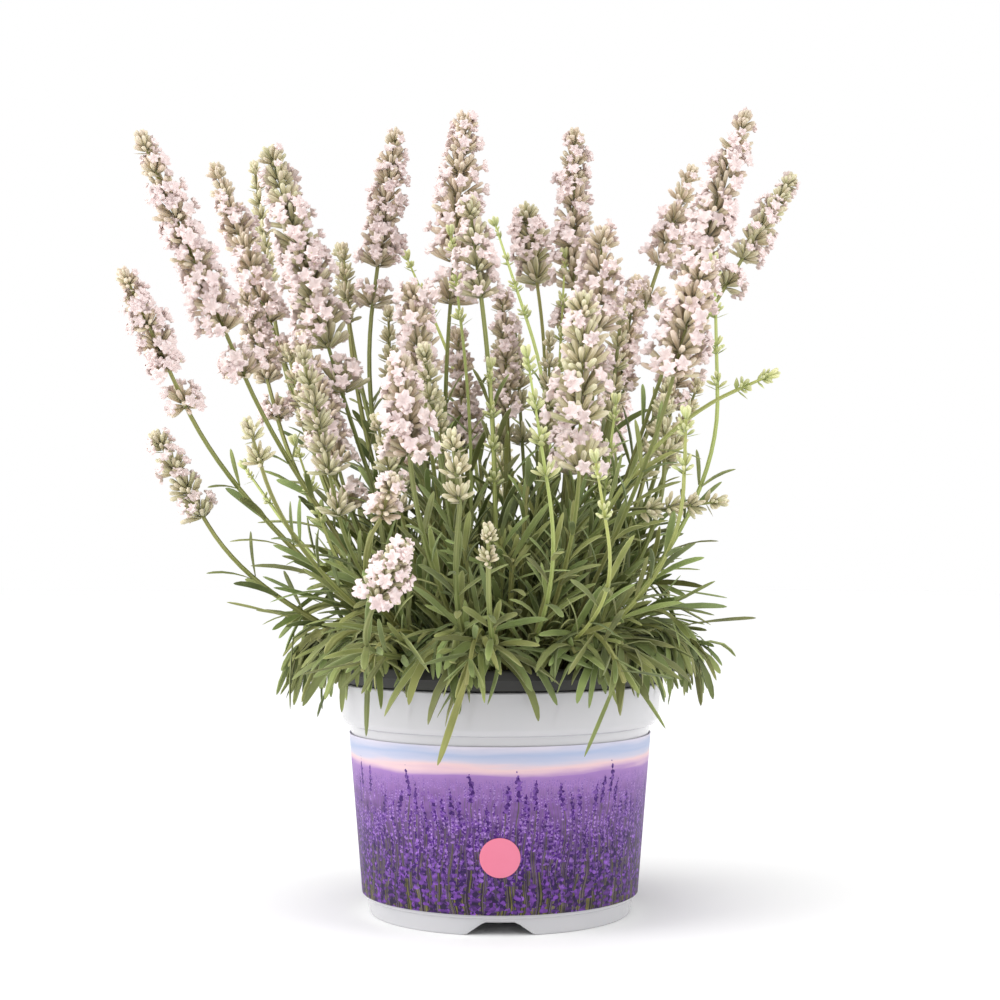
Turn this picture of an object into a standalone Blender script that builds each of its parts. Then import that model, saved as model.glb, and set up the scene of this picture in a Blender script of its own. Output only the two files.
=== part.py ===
"""Potted lavender: a white pot with a printed sleeve, a black grow pot, mix, stems and leafy shoots.

Metres, +Z up. The origin is under the middle of the pot, on the surface that it stands on, and -Y is
the front. Turned pieces are spun from their profiles. Everything that grew is one closed skin each:
a square stem is extruded ring by ring, its whorls of flowers are bellies in that skin, and each leaf
is extruded from a side face of its stem.
"""

import math
import random

import bmesh
import bpy
import numpy as np
from mathutils import Matrix, Vector

MM = 0.001
GAP = 0.0003  # between two pieces that rest on, or sit in, each other
TURNS = 40  # facets round each turned piece

# White pot
POT_HEIGHT = 0.092
POT_RIM_RADIUS = 0.065
POT_WALL = 0.0013
RIM_BAND_HEIGHT = 0.017
RIM_BAND_OVERHANG = 0.0048  # how far the rim stands out from the top of the body
RIM_BAND_STEP = 0.0024  # how far the band's lower edge stands out from the body
BODY_BOTTOM_RADIUS = 0.0546
FOOT_HEIGHT = 0.007
FOOT_INSET = 0.0021
FOOT_WIDTH = 0.0028
FLOOR_HEIGHT = 0.006
FLOOR_THICKNESS = 0.0015
NOTCH_COUNT = 3
NOTCH_HEIGHT = 0.005
NOTCH_FOOT_WIDTH = 0.026
NOTCH_TOP_WIDTH = 0.012
DRAIN_COUNT = 4
DRAIN_RADIUS = 0.004
DRAIN_CIRCLE = 0.026

# Printed sleeve and round sticker
SLEEVE_BOTTOM = 0.0082
SLEEVE_TOP_MARGIN = 0.0035  # below the rim band
SLEEVE_THICKNESS = 0.0004
STICKER_RADIUS = 0.0075
STICKER_HEIGHT = 0.030
STICKER_THICKNESS = 0.0003

# Black grow pot, which hangs by its shoulder on the white pot's rim
GROW_WALL = 0.0009
GROW_SLACK = 0.0018  # between its body and the white pot's wall
GROW_FLOOR_GAP = 0.0006
LIP_OVERHANG = 0.0052
LIP_RISE = 0.0089
LIP_DROP = 0.0045
NECK_RISE = 0.0070

# Potting mix and woody crown
MIX_DROP = 0.0005
MIX_MOUND = 0.0030
MIX_SLACK = 0.0004
CROWN_RADIUS = 0.0065
CROWN_REACH = 0.0125
CROWN_HEIGHT = 0.016
CROWN_BRANCHES = 5

# Stems, whorls and leaves
STEM_RADIUS = 0.0011
ROOM = 0.0010
ROOT_NEAREST = 0.0160
ROOT_PER_REACH = 0.15
ROOT_SPACING = 0.0062
ROOT_MARGIN = 0.014
SHOOT_ROOT_RADIUS = 0.041
LIFT = 0.35
LEAST_RISE = 0.6
PITCH = {"bloom": 0.0095, "bud": 0.0085, "young": 0.0125}
WAIST = {"bloom": 0.66, "bud": 0.64, "young": 0.22}
STEM_STEPS = 9
SHOOT_STEPS = 9
FIRST_LEAVES = 2
LEAF_LENGTH = 0.032
LEAF_WIDTH = 0.0036
LEAF_THICKNESS = 0.0007
LEAF_ROOM = 0.0005
LEAF_BASE = 0.0014
LEAF_TRIES = 10

# Flower stems: the foot and the tip of each spike, in mm from the middle of the pot's rim, and its girth.
FLOWER_STEMS = {
    "bloom": (
        ((-115, -75, 106), (-131, -108, 150), 17),
        ((-113, -40, 64), (-132, -44, 97), 18),
        ((-97, -50, 119), (-130, -85, 203), 21),
        ((-92, 35, 133), (-123, 45, 218), 21),
        ((-64, -5, 117), (-93, -5, 214), 27),
        ((-53, 20, 155), (-44, 25, 228), 21),
        ((-20, 0, 154), (-14, 0, 229), 25),
        ((-7, -35, 148), (-12, -40, 188), 20),
        ((-30, -40, 118), (-34, -45, 154), 21),
        ((-32, -92, 85), (-35, -102, 120), 22),
        ((16, 40, 165), (11, 45, 200), 22),
        ((30, 15, 145), (31, 15, 226), 21),
        ((38, -28, 136), (40, -30, 178), 24),
        ((29, -75, 84), (30, -85, 144), 28),
        ((63, 40, 159), (83, 45, 217), 20),
        ((70, -20, 140), (97, -25, 224), 23),
        ((98, 50, 167), (131, 75, 219), 18),
        ((63, -75, 115), (73, -85, 156), 26),
        ((-41, -105, 63), (-30, -120, 78), 15),
        ((-43, -115, 34), (-33, -123, 55), 19),
        ((-40, 90, 80), (-50, 110, 123), 21),
        ((45, 90, 84), (56, 108, 132), 21),
    ),
    "bud": (
        ((-101, 75, 158), (-112, 90, 228), 16),
        ((-60, -65, 67), (-72, -80, 126), 18),
        ((-84, -95, 81), (-88, -105, 98), 15),
        ((-67, 65, 156), (-72, 75, 188), 15),
        ((-24, -68, 99), (-28, -78, 127), 16),
        ((-18, -113, 68), (-19, -121, 93), 17),
        ((2, 10, 98), (0, 15, 148), 17),
        ((64, -30, 86), (64, -35, 112), 18),
        ((53, -50, 67), (84, -60, 71), 15),
        ((-4, -112, 47), (-4, -120, 61), 11),
        ((2, 104, 73), (0, 124, 110), 17),
    ),
    "young": (
        ((13, 90, 154), (-3, 100, 204), 9),
        ((17, -100, 74), (9, -108, 123), 14),
        ((-28, 60, 151), (-42, 65, 183), 9),
        ((83, -45, 110), (81, -52, 164), 11),
        ((86, -72, 111), (100, -80, 117), 10),
        ((65, -95, 76), (65, -105, 102), 13),
        ((37, -110, 60), (32, -120, 86), 10),
        ((-97, 50, 69), (-113, 60, 90), 7),
    ),
}
# Leafy shoots: which way each leans (degrees from +X), how far past the lip its tip reaches, and how
# high above the lip it is halfway and at its tip (mm).
LEAFY_SHOOTS = (
    (200, 16, 20, 12),
    (160, 7, 28, 26),
    (236, 20, 14, 0),
    (262, 20, 14, -4),
    (300, 20, 13, -4),
    (334, 9, 20, 12),
    (20, 5, 27, 25),
    (70, 12, 20, 12),
    (112, 12, 20, 12),
    (182, -22, 36, 52),
    (350, -18, 34, 54),
    (275, -16, 28, 40),
    (90, -20, 30, 46),
)

BODY_TOP_RADIUS = POT_RIM_RADIUS - RIM_BAND_OVERHANG
FOOT_RADIUS = BODY_BOTTOM_RADIUS - FOOT_INSET
LIP_RADIUS = POT_RIM_RADIUS + LIP_OVERHANG
SLEEVE_TOP = POT_HEIGHT - RIM_BAND_HEIGHT - SLEEVE_TOP_MARGIN
MIX_LEVEL = POT_HEIGHT - MIX_DROP
LIP_TOP = POT_HEIGHT + LIP_RISE
GROW_FLOOR = FLOOR_HEIGHT + FLOOR_THICKNESS + GROW_FLOOR_GAP


def body_radius(z):
    """The white pot's outer radius at a height on its tapering body."""
    share = (z - FOOT_HEIGHT) / (POT_HEIGHT - RIM_BAND_HEIGHT - FOOT_HEIGHT)
    return BODY_BOTTOM_RADIUS + (BODY_TOP_RADIUS - BODY_BOTTOM_RADIUS) * share


def grow_radius(z):
    """The grow pot's outer radius at a height on its body, inside the white pot."""
    return body_radius(min(z, POT_HEIGHT - RIM_BAND_HEIGHT)) - POT_WALL - GROW_SLACK


MIX_RADIUS = grow_radius(MIX_LEVEL) - GROW_WALL - MIX_SLACK


# The plan of the plant: where each stem and leaf runs.


def unit(v):
    return v / max(np.linalg.norm(v), 1e-9)


def mix_height(x, y):
    bulge = max(0.0, 1 - (x * x + y * y) / MIX_RADIUS**2)
    return MIX_LEVEL + MIX_MOUND * bulge


def nearest(a, b, c, d):
    """Row by row, how far along segments ab and cd they come nearest, from 0 to 1."""
    first, second, across = b - a, d - c, a - c
    ff, ss, fs = (first**2).sum(1), (second**2).sum(1), (first * second).sum(1)
    fa, sa = (first * across).sum(1), (second * across).sum(1)
    along = np.clip((fs * sa - fa * ss) / np.maximum(ff * ss - fs * fs, 1e-15), 0, 1)
    other = np.clip((fs * along + sa) / ss, 0, 1)
    along = np.clip((fs * other - fa) / ff, 0, 1)
    return along, other


def whorls(kind, length, girth):
    """Each whorl of a spike, from its foot up: how far along it is, and its radius."""
    count = max(2, round(length / PITCH[kind]))
    shares = [(k + 0.5) / count for k in range(count)]
    if count >= 6:
        shares = [0.02] + [0.08 + 0.92 * share for share in shares[1:]]
    return [(length * s, girth / 2 * (1 - 0.55 * s**4)) for s in shares]


def spike_profile(kind, length, girth):
    """The outline of a spike: distance from its foot and radius, bellying at each whorl."""
    rings = whorls(kind, length, girth)
    outline = [rings[0]]
    for (before, wide), (along, radius) in zip(rings, rings[1:]):
        outline.append(((before + along) / 2, max(WAIST[kind] * min(wide, radius), STEM_RADIUS)))
        outline.append((along, radius))
    outline.append((length + 2 * MM, 0.3 * rings[-1][1]))
    return outline


def bezier_weights(steps):
    t = np.linspace(0, 1, steps + 1)[:, None]
    return np.hstack([(1 - t) ** 3, 3 * t * (1 - t) ** 2, 3 * t * t * (1 - t), t**3])


def root_spots(wanted):
    """Where the stems leave the mix: as near as they can be to where they want to, spaced out."""
    spots = np.array(wanted)
    for _ in range(400):
        apart = spots[:, None] - spots[None]
        gap = np.linalg.norm(apart, axis=2) + np.eye(len(spots))
        push = np.clip(ROOT_SPACING - gap, 0, None)
        if push.max() < 1e-5:
            break
        spots += 0.3 * (apart / gap[:, :, None] * push[:, :, None]).sum(1)
        out = np.linalg.norm(spots, axis=1)
        spots *= (np.clip(out, ROOT_NEAREST, MIX_RADIUS - ROOT_MARGIN) / out)[:, None]
    return [np.array([x, y, mix_height(x, y) + 0.5 * MM]) for x, y in spots]


def stem_controls(root, foot, tip):
    """A curve's four points up to the spike's foot, which it reaches the way the spike points, and the tip."""
    last, chord = unit(tip - foot), foot - root
    along = unit(chord)
    first = unit(2 * along.dot(last) * along - last + np.array([0, 0, LIFT]))
    first[2] = max(first[2], LEAST_RISE)
    reach = np.linalg.norm(chord) / 3
    return np.array([root, root + first * reach, foot - last * reach, foot, tip])


def shoot_controls(root, half, tip):
    """The four points of the curve that passes through half, and the tip again."""
    pull = 2 * half - (root + tip) / 2
    return np.array([root, root + (pull - root) * 2 / 3, tip + (pull - tip) * 2 / 3, tip, tip])


def flower_limb(name, kind, foot, tip, girth):
    foot, tip = (np.array(p) * MM + [0, 0, POT_HEIGHT] for p in (foot, tip))
    reach = np.linalg.norm(foot[:2])
    root = foot[:2] / reach * (ROOT_NEAREST + ROOT_PER_REACH * reach)
    return {"name": name, "kind": kind, "root": root, "marks": (foot, tip), "girth": girth * MM}


def leafy_limb(name, turn, past, rise, end):
    way = np.array([math.cos(math.radians(turn)), math.sin(math.radians(turn)), 0])
    out = LIP_RADIUS + past * MM
    half = way * (SHOOT_ROOT_RADIUS + out) / 2 + [0, 0, LIP_TOP + rise * MM]
    tip = way * out + [0, 0, LIP_TOP + end * MM]
    root = way[:2] * min(SHOOT_ROOT_RADIUS, out * 0.7)
    return {"name": name, "kind": "leafy", "root": root, "marks": (half, tip), "girth": 0}


def shape_limb(limb, root):
    """Sets the limb's controls, how its points are blended from them, and the radius along it."""
    leafy = limb["kind"] == "leafy"
    limb["controls"] = (shoot_controls if leafy else stem_controls)(root, *limb["marks"])
    weights = bezier_weights(SHOOT_STEPS if leafy else STEM_STEPS)
    weights = np.hstack([weights, np.zeros((len(weights), 1))])
    radii = [STEM_RADIUS] * (len(weights) - 1)
    if not leafy:
        foot, tip = limb["marks"]
        length = np.linalg.norm(tip - foot)
        outline = spike_profile(limb["kind"], length, limb["girth"])
        for share in (0.33, 0.67, 1.0):
            weights = np.vstack([weights, [0, 0, 0, 1 - share, share]])
            radii.append(max(r for d, r in outline if share - 0.36 <= d / length <= share + 0.03))
    limb["weights"], limb["radii"] = weights, np.array(radii)


def fixed_limb(name, points, radius):
    """Something that the stems bend away from and that stays as it is."""
    points = np.array(points)
    return {"name": name, "kind": "fixed", "controls": points, "weights": np.eye(len(points)),
            "radii": np.full(len(points) - 1, radius)}


def crown_limb():
    top = MIX_LEVEL + MIX_MOUND + CROWN_HEIGHT
    return fixed_limb("woody_crown", [[0, 0, MIX_LEVEL], [0, 0, top]], CROWN_REACH)


def lip_limb():
    half = (LIP_RADIUS - POT_RIM_RADIUS) / 2 + 0.4 * MM
    ring, height = LIP_RADIUS - half, LIP_TOP - half
    turns = np.linspace(0, 2 * math.pi, 25)
    return fixed_limb("lip", [[ring * math.cos(t), ring * math.sin(t), height] for t in turns], half)


def limb_points(limb):
    return limb["weights"] @ limb["controls"]


def make_room(limbs):
    """Bends the limbs apart until every two are ROOM or more from each other."""
    counts = [len(limb["weights"]) for limb in limbs]
    starts = np.cumsum([0] + counts)
    low = np.concatenate([np.arange(s, s + n - 1) for s, n in zip(starts, counts)])
    owner = np.concatenate([[k] * (n - 1) for k, n in enumerate(counts)])
    radii = np.concatenate([limb["radii"] for limb in limbs])
    for _ in range(300):
        points = np.vstack([limb_points(limb) for limb in limbs])
        a, b = points[low], points[low + 1]
        reach = np.linalg.norm(b - a, axis=1) / 2 + radii + ROOM / 2
        apart = np.linalg.norm((a + b)[:, None] - (a + b)[None], axis=2) / 2
        near = (apart < reach[:, None] + reach[None]) & (owner[:, None] != owner[None])
        first, second = np.nonzero(np.triu(near))
        s, t = nearest(a[first], b[first], a[second], b[second])
        across = a[first] + (b - a)[first] * s[:, None] - a[second] - (b - a)[second] * t[:, None]
        gap = np.linalg.norm(across, axis=1)
        short = radii[first] + radii[second] + ROOM - gap
        tight = short > 1e-5
        if not tight.any():
            break
        push = across[tight] / np.maximum(gap[tight], 1e-6)[:, None] * short[tight, None]
        shift = np.zeros_like(points)
        for place, share, way in ((first, s, 1), (second, t, -1)):
            ends, part = low[place[tight]], share[tight, None]
            np.add.at(shift, ends, way * push * (1 - part))
            np.add.at(shift, ends + 1, way * push * part)
        for limb, start, count in zip(limbs, starts, counts):
            if limb["kind"] != "fixed":
                change = limb["weights"].T @ shift[start : start + count]
                limb["controls"][1:] += change[1:]


def obstacles(limbs):
    """Every stretch of stem, spike and leaf: its two ends, its radius and whose it is."""
    rows = []
    for number, limb in enumerate(limbs):
        points = limb_points(limb)
        for a, b, radius in zip(points, points[1:], limb["radii"]):
            rows.append((*a, *b, radius, number))
        for leaf in limb.get("leaves", ()):
            rows += leaf_rows(leaf, number)
    return np.array(rows)


def leaf_rows(leaf, number):
    points = leaf_points(leaf, (0.06, 0.35, 0.7, 1.0))
    return [(*a, *b, leaf["width"] / 2, number) for a, b in zip(points, points[1:])]


def leaf_points(leaf, shares):
    """Points along a leaf: a curve from its base by its elbow to its tip."""
    base, elbow, tip = leaf["curve"]
    t = np.array(shares)[:, None]
    return base * (1 - t) ** 2 + elbow * 2 * t * (1 - t) + tip * t * t


def leaf_fits(leaf, number, taken):
    """Whether a leaf keeps clear of the pot, the mix and whatever has already grown."""
    points = leaf_points(leaf, np.linspace(0.2, 1, 9))
    out = np.linalg.norm(points[:, :2], axis=1)
    over_lip = (points[:, 2] < LIP_TOP + 2 * MM) & (out < LIP_RADIUS + 2.5 * MM)
    if over_lip.any() or points[:, 2].min() < 3 * MM:
        return False
    mine = np.array(leaf_rows(leaf, number))
    others = taken[(taken[:, 7] != number) | (taken[:, 6] > STEM_RADIUS)]
    pairs = np.repeat(mine, len(others), axis=0)
    tests = np.tile(others, (len(mine), 1))
    a, b, c, d = pairs[:, :3], pairs[:, 3:6], tests[:, :3], tests[:, 3:6]
    s, t = nearest(a, b, c, d)
    gap = np.linalg.norm(a + (b - a) * s[:, None] - c - (d - c) * t[:, None], axis=1)
    return bool((gap > pairs[:, 6] + tests[:, 6] + LEAF_ROOM).all())


def leaf_frame(points, step):
    """The middle of a stretch of stem, the way it runs and the two ways its faces look."""
    along = unit(points[step + 1] - points[step])
    side = unit(np.cross(along, [0.12, 0.05, 1.0]))
    return (points[step] + points[step + 1]) / 2, along, side, np.cross(along, side)


def make_leaf(base, along, out, wander, length, spread):
    """A leaf that leaves its stem by its out side and sags as it reaches away."""
    across = np.cross(along, out)
    way = unit(out + across * wander)
    first = unit(along * math.cos(spread) + way * math.sin(spread))
    elbow = base + first * length * 0.5
    tip = elbow + (first * 0.62 + way * 0.25 - np.array([0, 0, 0.22])) * length * 0.55
    return {"curve": (base, elbow, tip), "width": LEAF_WIDTH, "out": out, "across": across}


def grow_leaves(limbs, number, steps, length):
    """Two leaves at the middle of each step, turned a quarter from the pair below, where they fit."""
    limb = limbs[number]
    rng = random.Random(number)
    points, taken = limb_points(limb), obstacles(limbs)
    limb.setdefault("leaves", [])
    for step in steps:
        middle, along, side, other = leaf_frame(points, step)
        for out in (side, -side) if step % 2 else (other, -other):
            for attempt in range(LEAF_TRIES):
                shrink = rng.uniform(0.85, 1.15) * (1 - 0.05 * attempt)
                leaf = make_leaf(middle + out * STEM_RADIUS * 0.7, along, out,
                                 rng.uniform(-0.6, 0.6), length * shrink, rng.uniform(0.6, 1.15))
                leaf["step"] = step
                if leaf_fits(leaf, number, taken):
                    limb["leaves"].append(leaf)
                    taken = np.vstack([taken, leaf_rows(leaf, number)])
                    break


def plan():
    """Every stem and shoot, with the leaves of the leafy ones."""
    limbs = [flower_limb(f"{kind}_stem_{n:02d}", kind, *row)
             for kind, rows in FLOWER_STEMS.items() for n, row in enumerate(rows, 1)]
    limbs += [leafy_limb(f"leafy_shoot_{n:02d}", *row) for n, row in enumerate(LEAFY_SHOOTS, 1)]
    for limb, root in zip(limbs, root_spots([limb["root"] for limb in limbs])):
        shape_limb(limb, root)
    limbs += [crown_limb(), lip_limb()]
    make_room(limbs)
    for number, limb in enumerate(limbs):
        if limb["kind"] == "leafy":
            grow_leaves(limbs, number, range(FIRST_LEAVES, SHOOT_STEPS), LEAF_LENGTH)
    return [limb for limb in limbs if limb["kind"] != "fixed"]


# Building


def clear_scene():
    for obj in list(bpy.data.objects):
        bpy.data.objects.remove(obj, do_unlink=True)


def material(name, colour, roughness, metallic=0.0):
    made = bpy.data.materials.new(name)
    made.use_nodes = True
    shader = made.node_tree.nodes["Principled BSDF"]
    shader.inputs["Base Color"].default_value = (*colour, 1)
    shader.inputs["Roughness"].default_value = roughness
    shader.inputs["Metallic"].default_value = metallic
    return made


def finish(bm, name, look, smooth_below=0.6):
    """Turns a bmesh into a named object with its material."""
    bmesh.ops.recalc_face_normals(bm, faces=bm.faces)
    if bm.calc_volume(signed=True) < 0:
        bmesh.ops.reverse_faces(bm, faces=bm.faces)
    mesh = bpy.data.meshes.new(name)
    bm.to_mesh(mesh)
    bm.free()
    mesh.materials.append(look)
    mesh.shade_smooth()
    mesh.set_sharp_from_angle(angle=smooth_below)
    obj = bpy.data.objects.new(name, mesh)
    bpy.context.scene.collection.objects.link(obj)
    return obj


def turned(profile):
    """A bmesh spun round Z from a closed profile of (radius, height) points."""
    bm = bmesh.new()
    ring = [bm.verts.new((radius, 0, z)) for radius, z in profile]
    on_axis = profile[0][0] == 0 and profile[-1][0] == 0
    ends = ring[1:] if on_axis else ring[1:] + ring[:1]
    edges = [bm.edges.new(pair) for pair in zip(ring, ends)]
    bmesh.ops.spin(bm, geom=ring + edges, axis=(0, 0, 1), steps=TURNS, angle=2 * math.pi, use_merge=True)
    bmesh.ops.remove_doubles(bm, verts=bm.verts, dist=1e-6)
    return bm


def cylinder_cutter(name, radius, low, high, x, y):
    bm = bmesh.new()
    place = Matrix.Translation((x, y, (low + high) / 2))
    bmesh.ops.create_cone(bm, cap_ends=True, segments=12, radius1=radius, radius2=radius,
                          depth=high - low, matrix=place)
    return helper(finish(bm, name, None))


def helper(obj):
    obj.hide_render = True
    obj.display_type = "WIRE"
    return obj


def cut(obj, cutter):
    modifier = obj.modifiers.new(cutter.name, "BOOLEAN")
    modifier.operation = "DIFFERENCE"
    modifier.solver = "EXACT"
    modifier.object = cutter


def cut_drains(obj, low, high):
    for k in range(DRAIN_COUNT):
        turn = 2 * math.pi * (k + 0.5) / DRAIN_COUNT
        x, y = DRAIN_CIRCLE * math.cos(turn), DRAIN_CIRCLE * math.sin(turn)
        cut(obj, cylinder_cutter(f"{obj.name}_drain_{k}", DRAIN_RADIUS, low, high, x, y))


def notch_cutter(k):
    """A wedge across the foot, wider at the table."""
    inner, outer = FOOT_RADIUS - FOOT_WIDTH - 6 * MM, BODY_BOTTOM_RADIUS + 4 * MM
    bm = bmesh.new()
    bmesh.ops.create_cube(bm, size=1)
    for vert in bm.verts:
        top = vert.co.z > 0
        width = NOTCH_TOP_WIDTH if top else NOTCH_FOOT_WIDTH + (NOTCH_FOOT_WIDTH - NOTCH_TOP_WIDTH) / 5
        out = outer if vert.co.y < 0 else inner
        vert.co = (vert.co.x * width, -out, NOTCH_HEIGHT if top else -NOTCH_HEIGHT / 5)
    bmesh.ops.rotate(bm, verts=bm.verts, matrix=Matrix.Rotation(2 * math.pi * k / NOTCH_COUNT, 3, "Z"))
    return helper(finish(bm, f"notch_{k}", None))


def white_pot(look):
    band_bottom = POT_HEIGHT - RIM_BAND_HEIGHT
    corner = FLOOR_HEIGHT + 3 * MM
    foot_inside = FOOT_RADIUS - FOOT_WIDTH
    band_radius = BODY_TOP_RADIUS + RIM_BAND_STEP
    profile = [
        (0, FLOOR_HEIGHT),
        (foot_inside - 0.6 * MM, FLOOR_HEIGHT),
        (foot_inside, 0),
        (FOOT_RADIUS - 0.6 * MM, 0),
        (FOOT_RADIUS, 0.8 * MM),
        (FOOT_RADIUS + 0.8 * MM, FOOT_HEIGHT - 0.6 * MM),
        (BODY_BOTTOM_RADIUS, FOOT_HEIGHT),
        (BODY_TOP_RADIUS, band_bottom),
        (band_radius, band_bottom + 0.6 * MM),
        (band_radius + 1 * MM, band_bottom + 2.5 * MM),
        (POT_RIM_RADIUS, POT_HEIGHT - 1.2 * MM),
        (POT_RIM_RADIUS - 0.6 * MM, POT_HEIGHT),
        (POT_RIM_RADIUS - POT_WALL - 1.2 * MM, POT_HEIGHT),
        (band_radius - POT_WALL, band_bottom + 3.5 * MM),
        (BODY_TOP_RADIUS - POT_WALL, band_bottom),
        (body_radius(corner) - POT_WALL, corner),
        (body_radius(corner) - POT_WALL - 3 * MM, FLOOR_HEIGHT + FLOOR_THICKNESS),
        (0, FLOOR_HEIGHT + FLOOR_THICKNESS),
    ]
    obj = finish(turned(profile), "white_pot", look)
    for k in range(NOTCH_COUNT):
        cut(obj, notch_cutter(k))
    cut_drains(obj, FLOOR_HEIGHT - 2 * MM, FLOOR_HEIGHT + 4 * MM)


def printed_sleeve(look):
    inner = [(body_radius(z) + GAP, z) for z in (SLEEVE_BOTTOM, SLEEVE_TOP)]
    outer = [(radius + SLEEVE_THICKNESS, z) for radius, z in inner]
    finish(turned(outer + inner[::-1]), "printed_sleeve", look)


def round_sticker(look):
    """A disc bent round the front of the sleeve."""
    bm = bmesh.new()
    bmesh.ops.create_cone(bm, cap_ends=True, cap_tris=True, segments=24, radius1=STICKER_RADIUS,
                          radius2=STICKER_RADIUS, depth=STICKER_THICKNESS)
    for vert in bm.verts:
        z = STICKER_HEIGHT + vert.co.y
        lift = STICKER_THICKNESS if vert.co.z > 0 else 0
        turn = vert.co.x / body_radius(z)
        radius = body_radius(z) + 2 * GAP + SLEEVE_THICKNESS + lift
        vert.co = (radius * math.sin(turn), -radius * math.cos(turn), z)
    finish(bm, "round_sticker", look)


def grow_pot(look):
    floor = GROW_FLOOR
    shoulder = POT_HEIGHT + GAP
    low, top = grow_radius(floor) - 3 * MM, grow_radius(POT_HEIGHT - RIM_BAND_HEIGHT)
    profile = [
        (0, floor),
        (low, floor),
        (grow_radius(floor + 3 * MM), floor + 3 * MM),
        (top, shoulder),
        (POT_RIM_RADIUS - 0.4 * MM, shoulder),
        (POT_RIM_RADIUS + 1 * MM, shoulder + NECK_RISE - 1 * MM),
        (LIP_RADIUS - 1.2 * MM, LIP_TOP - LIP_DROP + 1.2 * MM),
        (LIP_RADIUS - 1 * MM, LIP_TOP - LIP_DROP),
        (LIP_RADIUS, LIP_TOP - LIP_DROP),
        (LIP_RADIUS, LIP_TOP - 1 * MM),
        (LIP_RADIUS - 1.2 * MM, LIP_TOP),
        (POT_RIM_RADIUS - GROW_WALL + 0.8 * MM, LIP_TOP - 0.6 * MM),
        (POT_RIM_RADIUS - 0.4 * MM - GROW_WALL, shoulder + GROW_WALL),
        (top - GROW_WALL, shoulder + GROW_WALL),
        (grow_radius(floor + 3 * MM) - GROW_WALL, floor + 3 * MM + GROW_WALL),
        (low - GROW_WALL / 2, floor + GROW_WALL),
        (0, floor + GROW_WALL),
    ]
    obj = finish(turned(profile), "grow_pot", look)
    cut_drains(obj, floor - 2 * MM, floor + 4 * MM)


def potting_mix(look):
    floor = GROW_FLOOR + GROW_WALL + GAP + MIX_SLACK
    corner = floor + 4 * MM
    slack = GROW_WALL + MIX_SLACK
    profile = [(0, floor), (grow_radius(floor) - 5 * MM - slack, floor),
               (grow_radius(corner) - 0.4 * MM - slack, corner), (MIX_RADIUS, MIX_LEVEL)]
    for share in (0.82, 0.55, 0.25, 0):
        profile.append((MIX_RADIUS * share, mix_height(MIX_RADIUS * share, 0)))
    finish(turned(profile), "potting_mix", look)


def start_face(bm, centre, wide, thick):
    """A square face across the start of a stem."""
    corners = [centre + wide * a + thick * b for a, b in ((-1, -1), (1, -1), (1, 1), (-1, 1))]
    return bm.faces.new([bm.verts.new(corner) for corner in corners])


def grow(bm, face, stations):
    """Extrudes a four-sided face through stations of (centre, half width, half thickness)."""
    for centre, wide, thick in stations:
        middle = face.calc_center_median()
        face = bmesh.ops.extrude_discrete_faces(bm, faces=[face])["faces"][0]
        for vert in face.verts:
            out = vert.co - middle
            vert.co = (centre + wide * math.copysign(1, out.dot(wide))
                       + thick * math.copysign(1, out.dot(thick)))
    return face


def square(centre, side, other, radius):
    half = radius / math.sqrt(2)
    return Vector(centre), Vector(side) * half, Vector(other) * half


def side_face(faces, middle, out):
    """Of these faces, the one whose middle lies furthest out from the stem."""
    return max(faces, key=lambda f: (f.calc_center_median() - Vector(middle)).dot(Vector(out)))


def grow_leaf(bm, face, leaf):
    """A blade that widens from the stem and narrows to its tip, with its flat side to the sky."""
    points = leaf_points(leaf, (0.0, 0.35, 0.7, 1.0))
    stations = []
    for before, point, size in zip(points, points[1:], (0.9, 1.0, 0.3)):
        along = unit(point - before)
        thick = unit(np.cross(along, leaf["across"]))
        wide = np.cross(thick, along) * leaf["width"] / 2 * size
        stations.append((Vector(point), Vector(wide), Vector(thick) * LEAF_THICKNESS / 2))
    grow(bm, face, stations)


def limb_object(limb, look):
    """A stem's skin: square rings up its curve, a belly at each whorl, and a leaf from each leaf's face."""
    bm = bmesh.new()
    leafy = limb["kind"] == "leafy"
    points = limb_points(limb)[: (SHOOT_STEPS if leafy else STEM_STEPS) + 1]
    _, _, side, _ = leaf_frame(points, 0)
    face = start_face(bm, *square(points[0], side, unit(np.cross((0, 0, 1), side)), STEM_RADIUS))
    for step in range(len(points) - 1):
        middle, along, side, other = leaf_frame(points, step)
        leaves = [leaf for leaf in limb.get("leaves", ()) if leaf["step"] == step]
        if leaves:
            near, far = middle - along * LEAF_BASE / 2, middle + along * LEAF_BASE / 2
            face = grow(bm, face, [square(near, side, other, STEM_RADIUS)])
            face = grow(bm, face, [square(far, side, other, STEM_RADIUS)])
            sides = [f for edge in face.edges for f in edge.link_faces if f is not face]
            bases = [side_face(sides, middle, leaf["out"]) for leaf in leaves]
            for base, leaf in zip(bases, leaves):
                grow_leaf(bm, base, leaf)
        ring = square(points[step + 1], side, other, STEM_RADIUS)
        face = grow(bm, face, [ring])
    if not leafy:
        foot, tip = limb["controls"][3], limb["controls"][4]
        along, length = unit(tip - foot), np.linalg.norm(tip - foot)
        for distance, radius in spike_profile(limb["kind"], length, limb["girth"]):
            face = grow(bm, face, [square(foot + along * (distance + 1 * MM), side, other, radius)])
    bmesh.ops.holes_fill(bm, edges=bm.edges, sides=4)
    finish(bm, limb["name"], look)


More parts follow.
